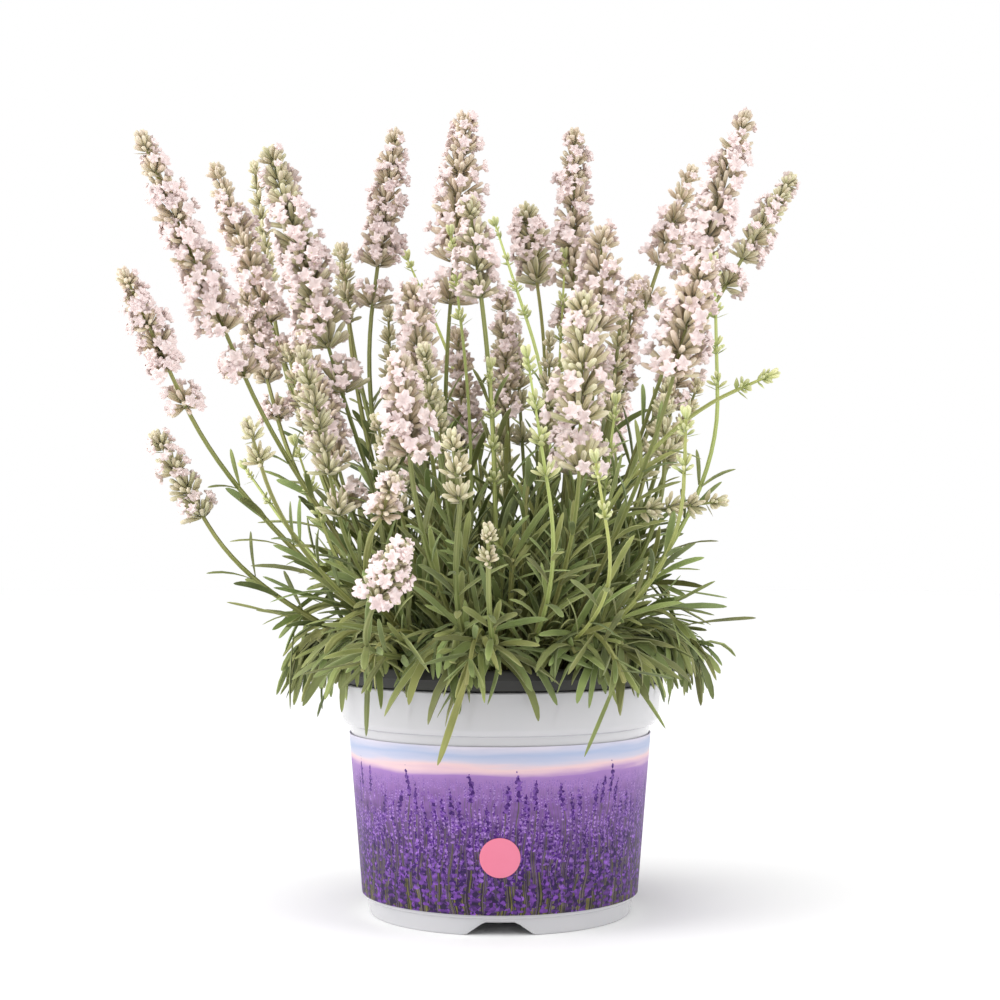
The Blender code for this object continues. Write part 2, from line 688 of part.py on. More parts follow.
def woody_crown(look):
    """A stub with short branches, each extruded from a face of its side."""
    bm = bmesh.new()
    base = MIX_LEVEL + MIX_MOUND + 0.5 * MM
    bmesh.ops.create_cone(bm, cap_ends=True, segments=CROWN_BRANCHES, radius1=CROWN_RADIUS,
                          radius2=CROWN_RADIUS * 0.8, depth=CROWN_HEIGHT * 0.6,
                          matrix=Matrix.Translation((0, 0, base + CROWN_HEIGHT * 0.3)))
    walls = [f for f in bm.faces if abs(f.normal.z) < 0.5]
    for wall in walls:
        way = wall.normal.copy()
        way.z = 0
        way.normalize()
        across = Vector((-way.y, way.x, 0))
        middle = wall.calc_center_median()
        stations = []
        for out, up, radius in ((0.35, 0.25, 0.30), (0.62, 0.75, 0.22), (0.7, 1.0, 0.14)):
            centre = Vector((0, 0, 0)) + way * CROWN_REACH * (out + 0.2)
            centre.z = middle.z + (CROWN_HEIGHT * 0.62) * up
            stations.append((centre, across * CROWN_RADIUS * radius, Vector((0, 0, CROWN_RADIUS * radius))))
        grow(bm, wall, stations)
    finish(bm, "woody_crown", look)


def main():
    clear_scene()
    white_pot(material("gloss_white_plastic", (0.80, 0.79, 0.78), 0.25))
    printed_sleeve(material("printed_paper", (0.22, 0.13, 0.35), 0.45))
    round_sticker(material("sticker_pink", (0.86, 0.25, 0.38), 0.4))
    grow_pot(material("black_plastic", (0.02, 0.02, 0.02), 0.5))
    potting_mix(material("peat", (0.03, 0.022, 0.014), 0.95))
    woody_crown(material("bark", (0.13, 0.09, 0.06), 0.9))
    looks = {
        "bloom": material("pale_bloom", (0.62, 0.50, 0.55), 0.7),
        "bud": material("green_bud", (0.30, 0.33, 0.18), 0.7),
        "young": material("lime_bud", (0.42, 0.48, 0.16), 0.7),
        "leafy": material("sage_leaf", (0.20, 0.25, 0.10), 0.7),
    }
    for limb in plan():
        limb_object(limb, looks[limb["kind"]])


main()
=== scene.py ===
"""Potted lavender: finishes for the pots, and every stem, leaf and flower remade in detail.

Metres, +Z up, and -Y is the front. The plan of the plant is the part's own, so each finished stem
and leaf runs where its solid runs.
"""

import math
import random

import bmesh
import bpy
import numpy as np
from mathutils import Matrix, Vector, noise


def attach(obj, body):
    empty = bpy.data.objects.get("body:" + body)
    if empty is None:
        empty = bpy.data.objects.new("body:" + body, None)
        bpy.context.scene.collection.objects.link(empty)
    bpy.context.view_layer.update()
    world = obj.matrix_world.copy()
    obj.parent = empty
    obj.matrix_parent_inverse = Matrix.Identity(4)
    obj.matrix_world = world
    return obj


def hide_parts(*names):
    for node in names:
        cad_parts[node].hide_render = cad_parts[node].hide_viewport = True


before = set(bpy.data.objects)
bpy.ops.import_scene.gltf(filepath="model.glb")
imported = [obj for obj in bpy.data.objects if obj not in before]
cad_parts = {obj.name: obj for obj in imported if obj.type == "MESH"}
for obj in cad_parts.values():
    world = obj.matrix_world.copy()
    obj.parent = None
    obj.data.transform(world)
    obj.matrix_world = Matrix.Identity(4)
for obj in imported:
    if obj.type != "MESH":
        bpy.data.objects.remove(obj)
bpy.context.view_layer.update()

# The part's own sizes

MM = 0.001
GAP = 0.0003  # between two pieces that rest on, or sit in, each other
POT_HEIGHT = 0.092
POT_RIM_RADIUS = 0.065
POT_WALL = 0.0013
RIM_BAND_HEIGHT = 0.017
RIM_BAND_OVERHANG = 0.0048  # how far the rim stands out from the top of the body
RIM_BAND_STEP = 0.0024  # how far the band's lower edge stands out from the body
BODY_BOTTOM_RADIUS = 0.0546
FOOT_HEIGHT = 0.007
FOOT_INSET = 0.0021
FOOT_WIDTH = 0.0028
FLOOR_HEIGHT = 0.006
FLOOR_THICKNESS = 0.0015
NOTCH_COUNT = 3
NOTCH_HEIGHT = 0.005
NOTCH_FOOT_WIDTH = 0.026
NOTCH_TOP_WIDTH = 0.012
DRAIN_COUNT = 4
DRAIN_RADIUS = 0.004
DRAIN_CIRCLE = 0.026
SLEEVE_BOTTOM = 0.0082
SLEEVE_TOP_MARGIN = 0.0035  # below the rim band
SLEEVE_THICKNESS = 0.0004
STICKER_RADIUS = 0.0075
STICKER_HEIGHT = 0.030
STICKER_THICKNESS = 0.0003
GROW_WALL = 0.0009
GROW_SLACK = 0.0018  # between its body and the white pot's wall
GROW_FLOOR_GAP = 0.0006
LIP_OVERHANG = 0.0052
LIP_RISE = 0.0089
LIP_DROP = 0.0045
NECK_RISE = 0.0070
MIX_DROP = 0.0005
MIX_MOUND = 0.0030
MIX_SLACK = 0.0004
CROWN_RADIUS = 0.0065
CROWN_REACH = 0.0125
CROWN_HEIGHT = 0.016

# Stems, whorls and leaves
STEM_RADIUS = 0.0011
ROOM = 0.0010
ROOT_NEAREST = 0.0160
ROOT_PER_REACH = 0.15
ROOT_SPACING = 0.0062
ROOT_MARGIN = 0.014
SHOOT_ROOT_RADIUS = 0.041
LIFT = 0.35
LEAST_RISE = 0.6
PITCH = {"bloom": 0.0095, "bud": 0.0085, "young": 0.0125}
WAIST = {"bloom": 0.66, "bud": 0.64, "young": 0.22}
STEM_STEPS = 9
SHOOT_STEPS = 9
FIRST_LEAVES = 2
LEAF_LENGTH = 0.032
LEAF_WIDTH = 0.0036
LEAF_ROOM = 0.0005
LEAF_TRIES = 10

# Flower stems: the foot and the tip of each spike, in mm from the middle of the pot's rim, and its girth.
FLOWER_STEMS = {
    "bloom": (
        ((-115, -75, 106), (-131, -108, 150), 17),
        ((-113, -40, 64), (-132, -44, 97), 18),
        ((-97, -50, 119), (-130, -85, 203), 21),
        ((-92, 35, 133), (-123, 45, 218), 21),
        ((-64, -5, 117), (-93, -5, 214), 27),
        ((-53, 20, 155), (-44, 25, 228), 21),
        ((-20, 0, 154), (-14, 0, 229), 25),
        ((-7, -35, 148), (-12, -40, 188), 20),
        ((-30, -40, 118), (-34, -45, 154), 21),
        ((-32, -92, 85), (-35, -102, 120), 22),
        ((16, 40, 165), (11, 45, 200), 22),
        ((30, 15, 145), (31, 15, 226), 21),
        ((38, -28, 136), (40, -30, 178), 24),
        ((29, -75, 84), (30, -85, 144), 28),
        ((63, 40, 159), (83, 45, 217), 20),
        ((70, -20, 140), (97, -25, 224), 23),
        ((98, 50, 167), (131, 75, 219), 18),
        ((63, -75, 115), (73, -85, 156), 26),
        ((-41, -105, 63), (-30, -120, 78), 15),
        ((-43, -115, 34), (-33, -123, 55), 19),
        ((-40, 90, 80), (-50, 110, 123), 21),
        ((45, 90, 84), (56, 108, 132), 21),
    ),
    "bud": (
        ((-101, 75, 158), (-112, 90, 228), 16),
        ((-60, -65, 67), (-72, -80, 126), 18),
        ((-84, -95, 81), (-88, -105, 98), 15),
        ((-67, 65, 156), (-72, 75, 188), 15),
        ((-24, -68, 99), (-28, -78, 127), 16),
        ((-18, -113, 68), (-19, -121, 93), 17),
        ((2, 10, 98), (0, 15, 148), 17),
        ((64, -30, 86), (64, -35, 112), 18),
        ((53, -50, 67), (84, -60, 71), 15),
        ((-4, -112, 47), (-4, -120, 61), 11),
        ((2, 104, 73), (0, 124, 110), 17),
    ),
    "young": (
        ((13, 90, 154), (-3, 100, 204), 9),
        ((17, -100, 74), (9, -108, 123), 14),
        ((-28, 60, 151), (-42, 65, 183), 9),
        ((83, -45, 110), (81, -52, 164), 11),
        ((86, -72, 111), (100, -80, 117), 10),
        ((65, -95, 76), (65, -105, 102), 13),
        ((37, -110, 60), (32, -120, 86), 10),
        ((-97, 50, 69), (-113, 60, 90), 7),
    ),
}
# Leafy shoots: which way each leans (degrees from +X), how far past the lip its tip reaches, and how
# high above the lip it is halfway and at its tip (mm).
LEAFY_SHOOTS = (
    (200, 16, 20, 12),
    (160, 7, 28, 26),
    (236, 20, 14, 0),
    (262, 20, 14, -4),
    (300, 20, 13, -4),
    (334, 9, 20, 12),
    (20, 5, 27, 25),
    (70, 12, 20, 12),
    (112, 12, 20, 12),
    (182, -22, 36, 52),
    (350, -18, 34, 54),
    (275, -16, 28, 40),
    (90, -20, 30, 46),
)

BODY_TOP_RADIUS = POT_RIM_RADIUS - RIM_BAND_OVERHANG
FOOT_RADIUS = BODY_BOTTOM_RADIUS - FOOT_INSET
LIP_RADIUS = POT_RIM_RADIUS + LIP_OVERHANG
SLEEVE_TOP = POT_HEIGHT - RIM_BAND_HEIGHT - SLEEVE_TOP_MARGIN
MIX_LEVEL = POT_HEIGHT - MIX_DROP
LIP_TOP = POT_HEIGHT + LIP_RISE
GROW_FLOOR = FLOOR_HEIGHT + FLOOR_THICKNESS + GROW_FLOOR_GAP


def body_radius(z):
    """The white pot's outer radius at a height on its tapering body."""
    share = (z - FOOT_HEIGHT) / (POT_HEIGHT - RIM_BAND_HEIGHT - FOOT_HEIGHT)
    return BODY_BOTTOM_RADIUS + (BODY_TOP_RADIUS - BODY_BOTTOM_RADIUS) * share


def grow_radius(z):
    """The grow pot's outer radius at a height on its body, inside the white pot."""
    return body_radius(min(z, POT_HEIGHT - RIM_BAND_HEIGHT)) - POT_WALL - GROW_SLACK


MIX_RADIUS = grow_radius(MIX_LEVEL) - GROW_WALL - MIX_SLACK


# The plan of the plant: where each stem and leaf runs.


def unit(v):
    return v / max(np.linalg.norm(v), 1e-9)


def mix_height(x, y):
    bulge = max(0.0, 1 - (x * x + y * y) / MIX_RADIUS**2)
    return MIX_LEVEL + MIX_MOUND * bulge


def nearest(a, b, c, d):
    """Row by row, how far along segments ab and cd they come nearest, from 0 to 1."""
    first, second, across = b - a, d - c, a - c
    ff, ss, fs = (first**2).sum(1), (second**2).sum(1), (first * second).sum(1)
    fa, sa = (first * across).sum(1), (second * across).sum(1)
    along = np.clip((fs * sa - fa * ss) / np.maximum(ff * ss - fs * fs, 1e-15), 0, 1)
    other = np.clip((fs * along + sa) / ss, 0, 1)
    along = np.clip((fs * other - fa) / ff, 0, 1)
    return along, other


def whorls(kind, length, girth):
    """Each whorl of a spike, from its foot up: how far along it is, and its radius."""
    count = max(2, round(length / PITCH[kind]))
    shares = [(k + 0.5) / count for k in range(count)]
    if count >= 6:
        shares = [0.02] + [0.08 + 0.92 * share for share in shares[1:]]
    return [(length * s, girth / 2 * (1 - 0.55 * s**4)) for s in shares]


def spike_profile(kind, length, girth):
    """The outline of a spike: distance from its foot and radius, bellying at each whorl."""
    rings = whorls(kind, length, girth)
    outline = [rings[0]]
    for (before, wide), (along, radius) in zip(rings, rings[1:]):
        outline.append(((before + along) / 2, max(WAIST[kind] * min(wide, radius), STEM_RADIUS)))
        outline.append((along, radius))
    outline.append((length + 2 * MM, 0.3 * rings[-1][1]))
    return outline


def bezier_weights(steps):
    t = np.linspace(0, 1, steps + 1)[:, None]
    return np.hstack([(1 - t) ** 3, 3 * t * (1 - t) ** 2, 3 * t * t * (1 - t), t**3])


def root_spots(wanted):
    """Where the stems leave the mix: as near as they can be to where they want to, spaced out."""
    spots = np.array(wanted)
    for _ in range(400):
        apart = spots[:, None] - spots[None]
        gap = np.linalg.norm(apart, axis=2) + np.eye(len(spots))
        push = np.clip(ROOT_SPACING - gap, 0, None)
        if push.max() < 1e-5:
            break
        spots += 0.3 * (apart / gap[:, :, None] * push[:, :, None]).sum(1)
        out = np.linalg.norm(spots, axis=1)
        spots *= (np.clip(out, ROOT_NEAREST, MIX_RADIUS - ROOT_MARGIN) / out)[:, None]
    return [np.array([x, y, mix_height(x, y) + 0.5 * MM]) for x, y in spots]


def stem_controls(root, foot, tip):
    """A curve's four points up to the spike's foot, where it runs the way the spike does, and the tip."""
    last, chord = unit(tip - foot), foot - root
    along = unit(chord)
    first = unit(2 * along.dot(last) * along - last + np.array([0, 0, LIFT]))
    first[2] = max(first[2], LEAST_RISE)
    reach = np.linalg.norm(chord) / 3
    return np.array([root, root + first * reach, foot - last * reach, foot, tip])


def shoot_controls(root, half, tip):
    """The four points of the curve that passes through half, and the tip again."""
    pull = 2 * half - (root + tip) / 2
    return np.array([root, root + (pull - root) * 2 / 3, tip + (pull - tip) * 2 / 3, tip, tip])


def flower_limb(name, kind, foot, tip, girth):
    foot, tip = (np.array(p) * MM + [0, 0, POT_HEIGHT] for p in (foot, tip))
    reach = np.linalg.norm(foot[:2])
    root = foot[:2] / reach * (ROOT_NEAREST + ROOT_PER_REACH * reach)
    return {"name": name, "kind": kind, "root": root, "marks": (foot, tip), "girth": girth * MM}


def leafy_limb(name, turn, past, rise, end):
    way = np.array([math.cos(math.radians(turn)), math.sin(math.radians(turn)), 0])
    out = LIP_RADIUS + past * MM
    half = way * (SHOOT_ROOT_RADIUS + out) / 2 + [0, 0, LIP_TOP + rise * MM]
    tip = way * out + [0, 0, LIP_TOP + end * MM]
    root = way[:2] * min(SHOOT_ROOT_RADIUS, out * 0.7)
    return {"name": name, "kind": "leafy", "root": root, "marks": (half, tip), "girth": 0}


def shape_limb(limb, root):
    """Sets the limb's controls, how its points are blended from them, and the radius along it."""
    leafy = limb["kind"] == "leafy"
    limb["controls"] = (shoot_controls if leafy else stem_controls)(root, *limb["marks"])
    weights = bezier_weights(SHOOT_STEPS if leafy else STEM_STEPS)
    weights = np.hstack([weights, np.zeros((len(weights), 1))])
    radii = [STEM_RADIUS] * (len(weights) - 1)
    if not leafy:
        foot, tip = limb["marks"]
        length = np.linalg.norm(tip - foot)
        outline = spike_profile(limb["kind"], length, limb["girth"])
        for share in (0.33, 0.67, 1.0):
            weights = np.vstack([weights, [0, 0, 0, 1 - share, share]])
            radii.append(max(r for d, r in outline if share - 0.36 <= d / length <= share + 0.03))
    limb["weights"], limb["radii"] = weights, np.array(radii)


def fixed_limb(name, points, radius):
    """Something that the stems bend away from and that stays as it is."""
    points = np.array(points)
    return {"name": name, "kind": "fixed", "controls": points, "weights": np.eye(len(points)),
            "radii": np.full(len(points) - 1, radius)}


def crown_limb():
    top = MIX_LEVEL + MIX_MOUND + CROWN_HEIGHT
    return fixed_limb("woody_crown", [[0, 0, MIX_LEVEL], [0, 0, top]], CROWN_REACH)


def lip_limb():
    half = (LIP_RADIUS - POT_RIM_RADIUS) / 2 + 0.4 * MM
    ring, height = LIP_RADIUS - half, LIP_TOP - half
    turns = np.linspace(0, 2 * math.pi, 25)
    return fixed_limb("lip", [[ring * math.cos(t), ring * math.sin(t), height] for t in turns], half)


def limb_points(limb):
    return limb["weights"] @ limb["controls"]


def make_room(limbs):
    """Bends the limbs apart until every two are ROOM or more from each other."""
    counts = [len(limb["weights"]) for limb in limbs]
    starts = np.cumsum([0] + counts)
    low = np.concatenate([np.arange(s, s + n - 1) for s, n in zip(starts, counts)])
    owner = np.concatenate([[k] * (n - 1) for k, n in enumerate(counts)])
    radii = np.concatenate([limb["radii"] for limb in limbs])
    for _ in range(300):
        points = np.vstack([limb_points(limb) for limb in limbs])
        a, b = points[low], points[low + 1]
        reach = np.linalg.norm(b - a, axis=1) / 2 + radii + ROOM / 2
        apart = np.linalg.norm((a + b)[:, None] - (a + b)[None], axis=2) / 2
        near = (apart < reach[:, None] + reach[None]) & (owner[:, None] != owner[None])
        first, second = np.nonzero(np.triu(near))
        s, t = nearest(a[first], b[first], a[second], b[second])
        across = a[first] + (b - a)[first] * s[:, None] - a[second] - (b - a)[second] * t[:, None]
        gap = np.linalg.norm(across, axis=1)
        short = radii[first] + radii[second] + ROOM - gap
        tight = short > 1e-5
        if not tight.any():
            break
        push = across[tight] / np.maximum(gap[tight], 1e-6)[:, None] * short[tight, None]
        shift = np.zeros_like(points)
        for place, share, way in ((first, s, 1), (second, t, -1)):
            ends, part = low[place[tight]], share[tight, None]
            np.add.at(shift, ends, way * push * (1 - part))
            np.add.at(shift, ends + 1, way * push * part)
        for limb, start, count in zip(limbs, starts, counts):
            if limb["kind"] != "fixed":
                change = limb["weights"].T @ shift[start : start + count]
                limb["controls"][1:] += change[1:]


def obstacles(limbs):
    """Every stretch of stem, spike and leaf: its two ends, its radius and whose it is."""
    rows = []
    for number, limb in enumerate(limbs):
        points = limb_points(limb)
        for a, b, radius in zip(points, points[1:], limb["radii"]):
            rows.append((*a, *b, radius, number))
        for leaf in limb.get("leaves", ()):
            rows += leaf_rows(leaf, number)
    return np.array(rows)


def leaf_rows(leaf, number):
    points = leaf_points(leaf, (0.06, 0.35, 0.7, 1.0))
    return [(*a, *b, leaf["width"] / 2, number) for a, b in zip(points, points[1:])]


def arc(start, pull, end, shares):
    """Points along the curve from start to end that is drawn towards pull."""
    t = np.array(shares)[:, None]
    return start * (1 - t) ** 2 + pull * 2 * t * (1 - t) + end * t * t


def leaf_points(leaf, shares):
    """Points along a leaf, from its base by its elbow to its tip."""
    return arc(*leaf["curve"], shares)


def leaf_fits(leaf, number, taken):
    """Whether a leaf keeps clear of the pot, the mix and whatever has already grown."""
    points = leaf_points(leaf, np.linspace(0.2, 1, 9))
    out = np.linalg.norm(points[:, :2], axis=1)
    over_lip = (points[:, 2] < LIP_TOP + 2 * MM) & (out < LIP_RADIUS + 2.5 * MM)
    if over_lip.any() or points[:, 2].min() < 3 * MM:
        return False
    mine = np.array(leaf_rows(leaf, number))
    others = taken[(taken[:, 7] != number) | (taken[:, 6] > STEM_RADIUS)]
    pairs = np.repeat(mine, len(others), axis=0)
    tests = np.tile(others, (len(mine), 1))
    a, b, c, d = pairs[:, :3], pairs[:, 3:6], tests[:, :3], tests[:, 3:6]
    s, t = nearest(a, b, c, d)
    gap = np.linalg.norm(a + (b - a) * s[:, None] - c - (d - c) * t[:, None], axis=1)
    return bool((gap > pairs[:, 6] + tests[:, 6] + LEAF_ROOM).all())


def leaf_frame(points, step):
    """The middle of a stretch of stem, the way it runs and the two ways its faces look."""
    along = unit(points[step + 1] - points[step])
    side = unit(np.cross(along, [0.12, 0.05, 1.0]))
    return (points[step] + points[step + 1]) / 2, along, side, np.cross(along, side)


def make_leaf(base, along, out, wander, length, spread):
    """A leaf that leaves its stem by its out side and sags as it reaches away."""
    across = np.cross(along, out)
    way = unit(out + across * wander)
    first = unit(along * math.cos(spread) + way * math.sin(spread))
    elbow = base + first * length * 0.5
    tip = elbow + (first * 0.62 + way * 0.25 - np.array([0, 0, 0.22])) * length * 0.55
    return {"curve": (base, elbow, tip), "width": LEAF_WIDTH, "out": out, "across": across}


def grow_leaves(limbs, number, steps, length):
    """Two leaves at the middle of each step, turned a quarter from the pair below, where they fit."""
    limb = limbs[number]
    rng = random.Random(number)
    points, taken = limb_points(limb), obstacles(limbs)
    limb.setdefault("leaves", [])
    for step in steps:
        middle, along, side, other = leaf_frame(points, step)
        for out in (side, -side) if step % 2 else (other, -other):
            for attempt in range(LEAF_TRIES):
                shrink = rng.uniform(0.85, 1.15) * (1 - 0.05 * attempt)
                leaf = make_leaf(middle + out * STEM_RADIUS * 0.7, along, out,
                                 rng.uniform(-0.6, 0.6), length * shrink, rng.uniform(0.6, 1.15))
                leaf["step"] = step
                if leaf_fits(leaf, number, taken):
                    limb["leaves"].append(leaf)
                    taken = np.vstack([taken, leaf_rows(leaf, number)])
                    break


def plan():
    """Every stem and shoot, with the leaves of the leafy ones."""
    limbs = [flower_limb(f"{kind}_stem_{n:02d}", kind, *row)
             for kind, rows in FLOWER_STEMS.items() for n, row in enumerate(rows, 1)]
    limbs += [leafy_limb(f"leafy_shoot_{n:02d}", *row) for n, row in enumerate(LEAFY_SHOOTS, 1)]
    for limb, root in zip(limbs, root_spots([limb["root"] for limb in limbs])):
        shape_limb(limb, root)
    limbs += [crown_limb(), lip_limb()]
    make_room(limbs)
    for number, limb in enumerate(limbs):
        if limb["kind"] == "leafy":
            grow_leaves(limbs, number, range(FIRST_LEAVES, SHOOT_STEPS), LEAF_LENGTH)
    return [limb for limb in limbs if limb["kind"] != "fixed"]


# Small shapes that the plant is made of. Each runs along X from 0 to 1 and is copied many times.

STEM, LEAF, CALYX, PETAL = range(4)  # a plant piece's material slots
STEM_RINGS = 30
STEM_SIDES = 8
STEM_TAPER = (1.12, 0.80, 0.50)  # thickness at the root, the spike's foot and its tip, in STEM_RADIUS
STEM_PLANTED = 0.006  # how far a stem reaches into the mix
CALYX_SIDES = 10
LEAF_SECTION = ((-1, -0.34), (-0.80, 0.10), (-0.35, 0.16), (0, 0.0), (0.35, 0.16), (0.80, 0.10), (1, -0.34),
                (0.55, -0.16), (0, -0.34), (-0.55, -0.16))
LEAF_RINGS = ((0.0, 0.42), (0.06, 0.52), (0.20, 0.80), (0.42, 0.98), (0.66, 1.0), (0.84, 0.84), (0.95, 0.52),
              (1.0, 0.14))
CALYX_RINGS = ((0.0, 0.26), (0.20, 0.62), (0.55, 1.0), (0.85, 1.0), (1.0, 0.60))
BUD_RINGS = ((0.0, 0.26), (0.25, 0.72), (0.60, 1.0), (0.86, 0.80), (1.0, 0.34))
BRACT_RINGS = ((0.0, 0.5), (0.35, 1.0), (0.75, 0.55), (1.0, 0.06))
# A corolla's rings, from its tube over its rim and back into its throat: how far out, and how wide.
COROLLA_RINGS = ((0.0, 0.24), (0.42, 0.46), (0.72, 1.0), (1.04, 0.70), (0.62, 0.24))
COROLLA_SIDES = 15
COROLLA_LOBES = 5
CREASE = 1.25  # the angle past which two faces meet in a sharp edge


def face_outwards(bm):
    """Turns every face of a closed mesh outwards."""
    bmesh.ops.recalc_face_normals(bm, faces=bm.faces)
    if bm.calc_volume(signed=True) < 0:
        bmesh.ops.reverse_faces(bm, faces=bm.faces)


def new_mesh(name, bm):
    """A mesh made from a bmesh, which is used up."""
    mesh = bpy.data.meshes.new(name)
    bm.to_mesh(mesh)
    bm.free()
    return mesh


def new_object(name, data):
    obj = bpy.data.objects.new(name, data)
    bpy.context.scene.collection.objects.link(obj)
    return obj


class Shape:
    """A closed mesh with the coordinates of its vertices, ready to be laid out again and again."""

    def __init__(self, name, bm, slot):
        bmesh.ops.holes_fill(bm, edges=bm.edges, sides=0)
        face_outwards(bm)
        for face in bm.faces:
            face.material_index = slot
            face.smooth = True
        for edge in bm.edges:
            edge.smooth = edge.calc_face_angle() < CREASE
        self.mesh = new_mesh(name, bm)
        flat = np.empty(len(self.mesh.vertices) * 3, np.float32)
        self.mesh.vertices.foreach_get("co", flat)
        self.points = flat.reshape(-1, 3).astype(float)
        for attribute in ("along", "tint", "edge"):
            self.mesh.attributes.new(attribute, "FLOAT", "POINT")
        self.mesh.attributes["along"].data.foreach_set("value", self.points[:, 0].astype(np.float32))
        self.mesh.attributes["edge"].data.foreach_set("value", self.edge().astype(np.float32))

    def edge(self):
        """How near each point is to a margin or a rib of its ring, from 0 to 1."""
        out = np.linalg.norm(self.points[:, 1:], axis=1)
        widest = np.array([out[np.abs(self.points[:, 0] - x) < 0.005].max() for x in self.points[:, 0]])
        return out / np.maximum(widest, 1e-6)

    def add_to(self, bm, points, tint, along=None):
        """Adds a copy with its vertices at points. The two values colour it."""
        self.mesh.vertices.foreach_set("co", points.astype(np.float32).ravel())
        self.mesh.attributes["tint"].data.foreach_set("value", np.full(len(points), tint, np.float32))
        if along is not None:
            self.mesh.attributes["along"].data.foreach_set("value", along.astype(np.float32))
        bm.from_mesh(self.mesh)


def sweep(bm, places):
    """Extrudes the mesh's one face from the first of these placings through the others."""
    bm.faces.ensure_lookup_table()
    face = bm.faces[0]
    bmesh.ops.transform(bm, matrix=places[0], verts=face.verts)
    for before, place in zip(places, places[1:]):
        face = bmesh.ops.extrude_discrete_faces(bm, faces=[face])["faces"][0]
        bmesh.ops.transform(bm, matrix=place @ before.inverted(), verts=face.verts)


def section(corners):
    """A face across X with its corners at these points."""
    bm = bmesh.new()
    bmesh.ops.create_circle(bm, cap_ends=True, segments=len(corners), radius=1)
    for vert, (y, z) in zip(bm.verts, corners):
        vert.co = (0, y, z)
    return bm


def star(sides, inner):
    """The corners of a ribbed circle, with every other corner nearer the middle."""
    turns = [2 * math.pi * k / sides for k in range(sides)]
    return [(math.cos(t) * (inner if k % 2 else 1), math.sin(t) * (inner if k % 2 else 1))
            for k, t in enumerate(turns)]


def swept(corners, rings):
    """A mesh with this section, as far along X and as wide as each ring says."""
    bm = section(corners)
    sweep(bm, [Matrix.Translation((x, 0, 0)) @ Matrix.Diagonal((1, width, width, 1)) for x, width in rings])
    return bm


def swept_shape(name, slot, corners, rings):
    return Shape(name, swept(corners, rings), slot)


def corolla_shape():
    """A short tube that opens into five ruffled lobes."""
    bm = swept(star(COROLLA_SIDES, 1), COROLLA_RINGS)
    for vert in bm.verts:
        out = math.hypot(vert.co.y, vert.co.z)
        if out > 0.5:
            turn = math.atan2(vert.co.z, vert.co.y)
            lobe = abs(math.sin(turn * COROLLA_LOBES / 2))
            wide = 1.12 if vert.co.z > 0 else 0.92
            vert.co.yz = vert.co.yz * (0.66 + 0.40 * lobe) * wide
            vert.co.x += 0.26 * out * math.sin(turn * 6 + 1) - 0.22 * (1 - lobe)
    return Shape("corolla", bm, PETAL)


SHAPES = {
    "stem": swept_shape("stem_tube", STEM, star(STEM_SIDES, 0.80),
                        [(k / STEM_RINGS, 1) for k in range(STEM_RINGS + 1)]),
    "leaf": swept_shape("leaf_blade", LEAF, LEAF_SECTION, LEAF_RINGS),
    "calyx": swept_shape("calyx", CALYX, star(CALYX_SIDES, 0.74), CALYX_RINGS),
    "bud": swept_shape("bud", CALYX, star(CALYX_SIDES, 0.78), BUD_RINGS),
    "bract": swept_shape("bract", CALYX, ((-1, 0), (0, 0.22), (1, 0), (0, -0.10)), BRACT_RINGS),
    "corolla": corolla_shape(),
}


# Laying the shapes out


class Path:
    """A smooth line through points, read by the share of its length."""

    def __init__(self, points):
        self.points = np.array(points)
        reach = np.cumsum(np.linalg.norm(np.diff(self.points, axis=0), axis=1))
        self.length = reach[-1]
        self.shares = np.concatenate([[0], reach]) / self.length

    def at(self, shares):
        return np.stack([np.interp(shares, self.shares, self.points[:, k]) for k in range(3)], axis=1)

    def spot(self, share):
        return self.at(np.array([share]))[0]


def rows_unit(rows):
    return rows / np.maximum(np.linalg.norm(rows, axis=1), 1e-9)[:, None]


def bend(shape, path, across, width, twist=0.0):
    """The shape's points laid along a path, across it and out of its flat side. width may vary by share."""
    x, y, z = shape.points.T
    ahead = rows_unit(path.at(np.minimum(x + 0.02, 1)) - path.at(np.maximum(x - 0.02, 0)))
    side = rows_unit(across - ahead * (ahead @ across)[:, None])
    up = np.cross(ahead, side)
    turn = (twist * x)[:, None]
    side, up = side * np.cos(turn) + up * np.sin(turn), up * np.cos(turn) - side * np.sin(turn)
    wide = np.asarray(width(x) if callable(width) else np.full(len(x), width))
    return path.at(x) + side * (y * wide)[:, None] + up * (z * wide)[:, None]


def placed(shape, base, way, length, width, roll=0.0):
    """The shape's points, set straight from a base along way, rolled about it."""
    helper = np.array([0.0, 0.0, 1.0]) if abs(way[2]) < 0.9 else np.array([0.0, 1.0, 0.0])
    side = unit(np.cross(helper, way))
    up = np.cross(way, side)
    side, up = side * math.cos(roll) + up * math.sin(roll), up * math.cos(roll) - side * math.sin(roll)
    return base + shape.points @ np.array([way * length, side * width, up * width])


def curved_path(limb, planted=STEM_PLANTED):
    """A stem's whole line, from in the mix to the tip of its spike."""
    controls = limb["controls"]
    curve = bezier_weights(28) @ controls[:4]
    below = controls[0] - unit(controls[1] - controls[0]) * planted
    beyond = [controls[3] + (controls[4] - controls[3]) * s for s in (0.34, 0.67, 1.0)]
    ends = [] if limb["kind"] == "leafy" else beyond
    return Path([below, *curve, *ends])


# Growing each piece of the plant

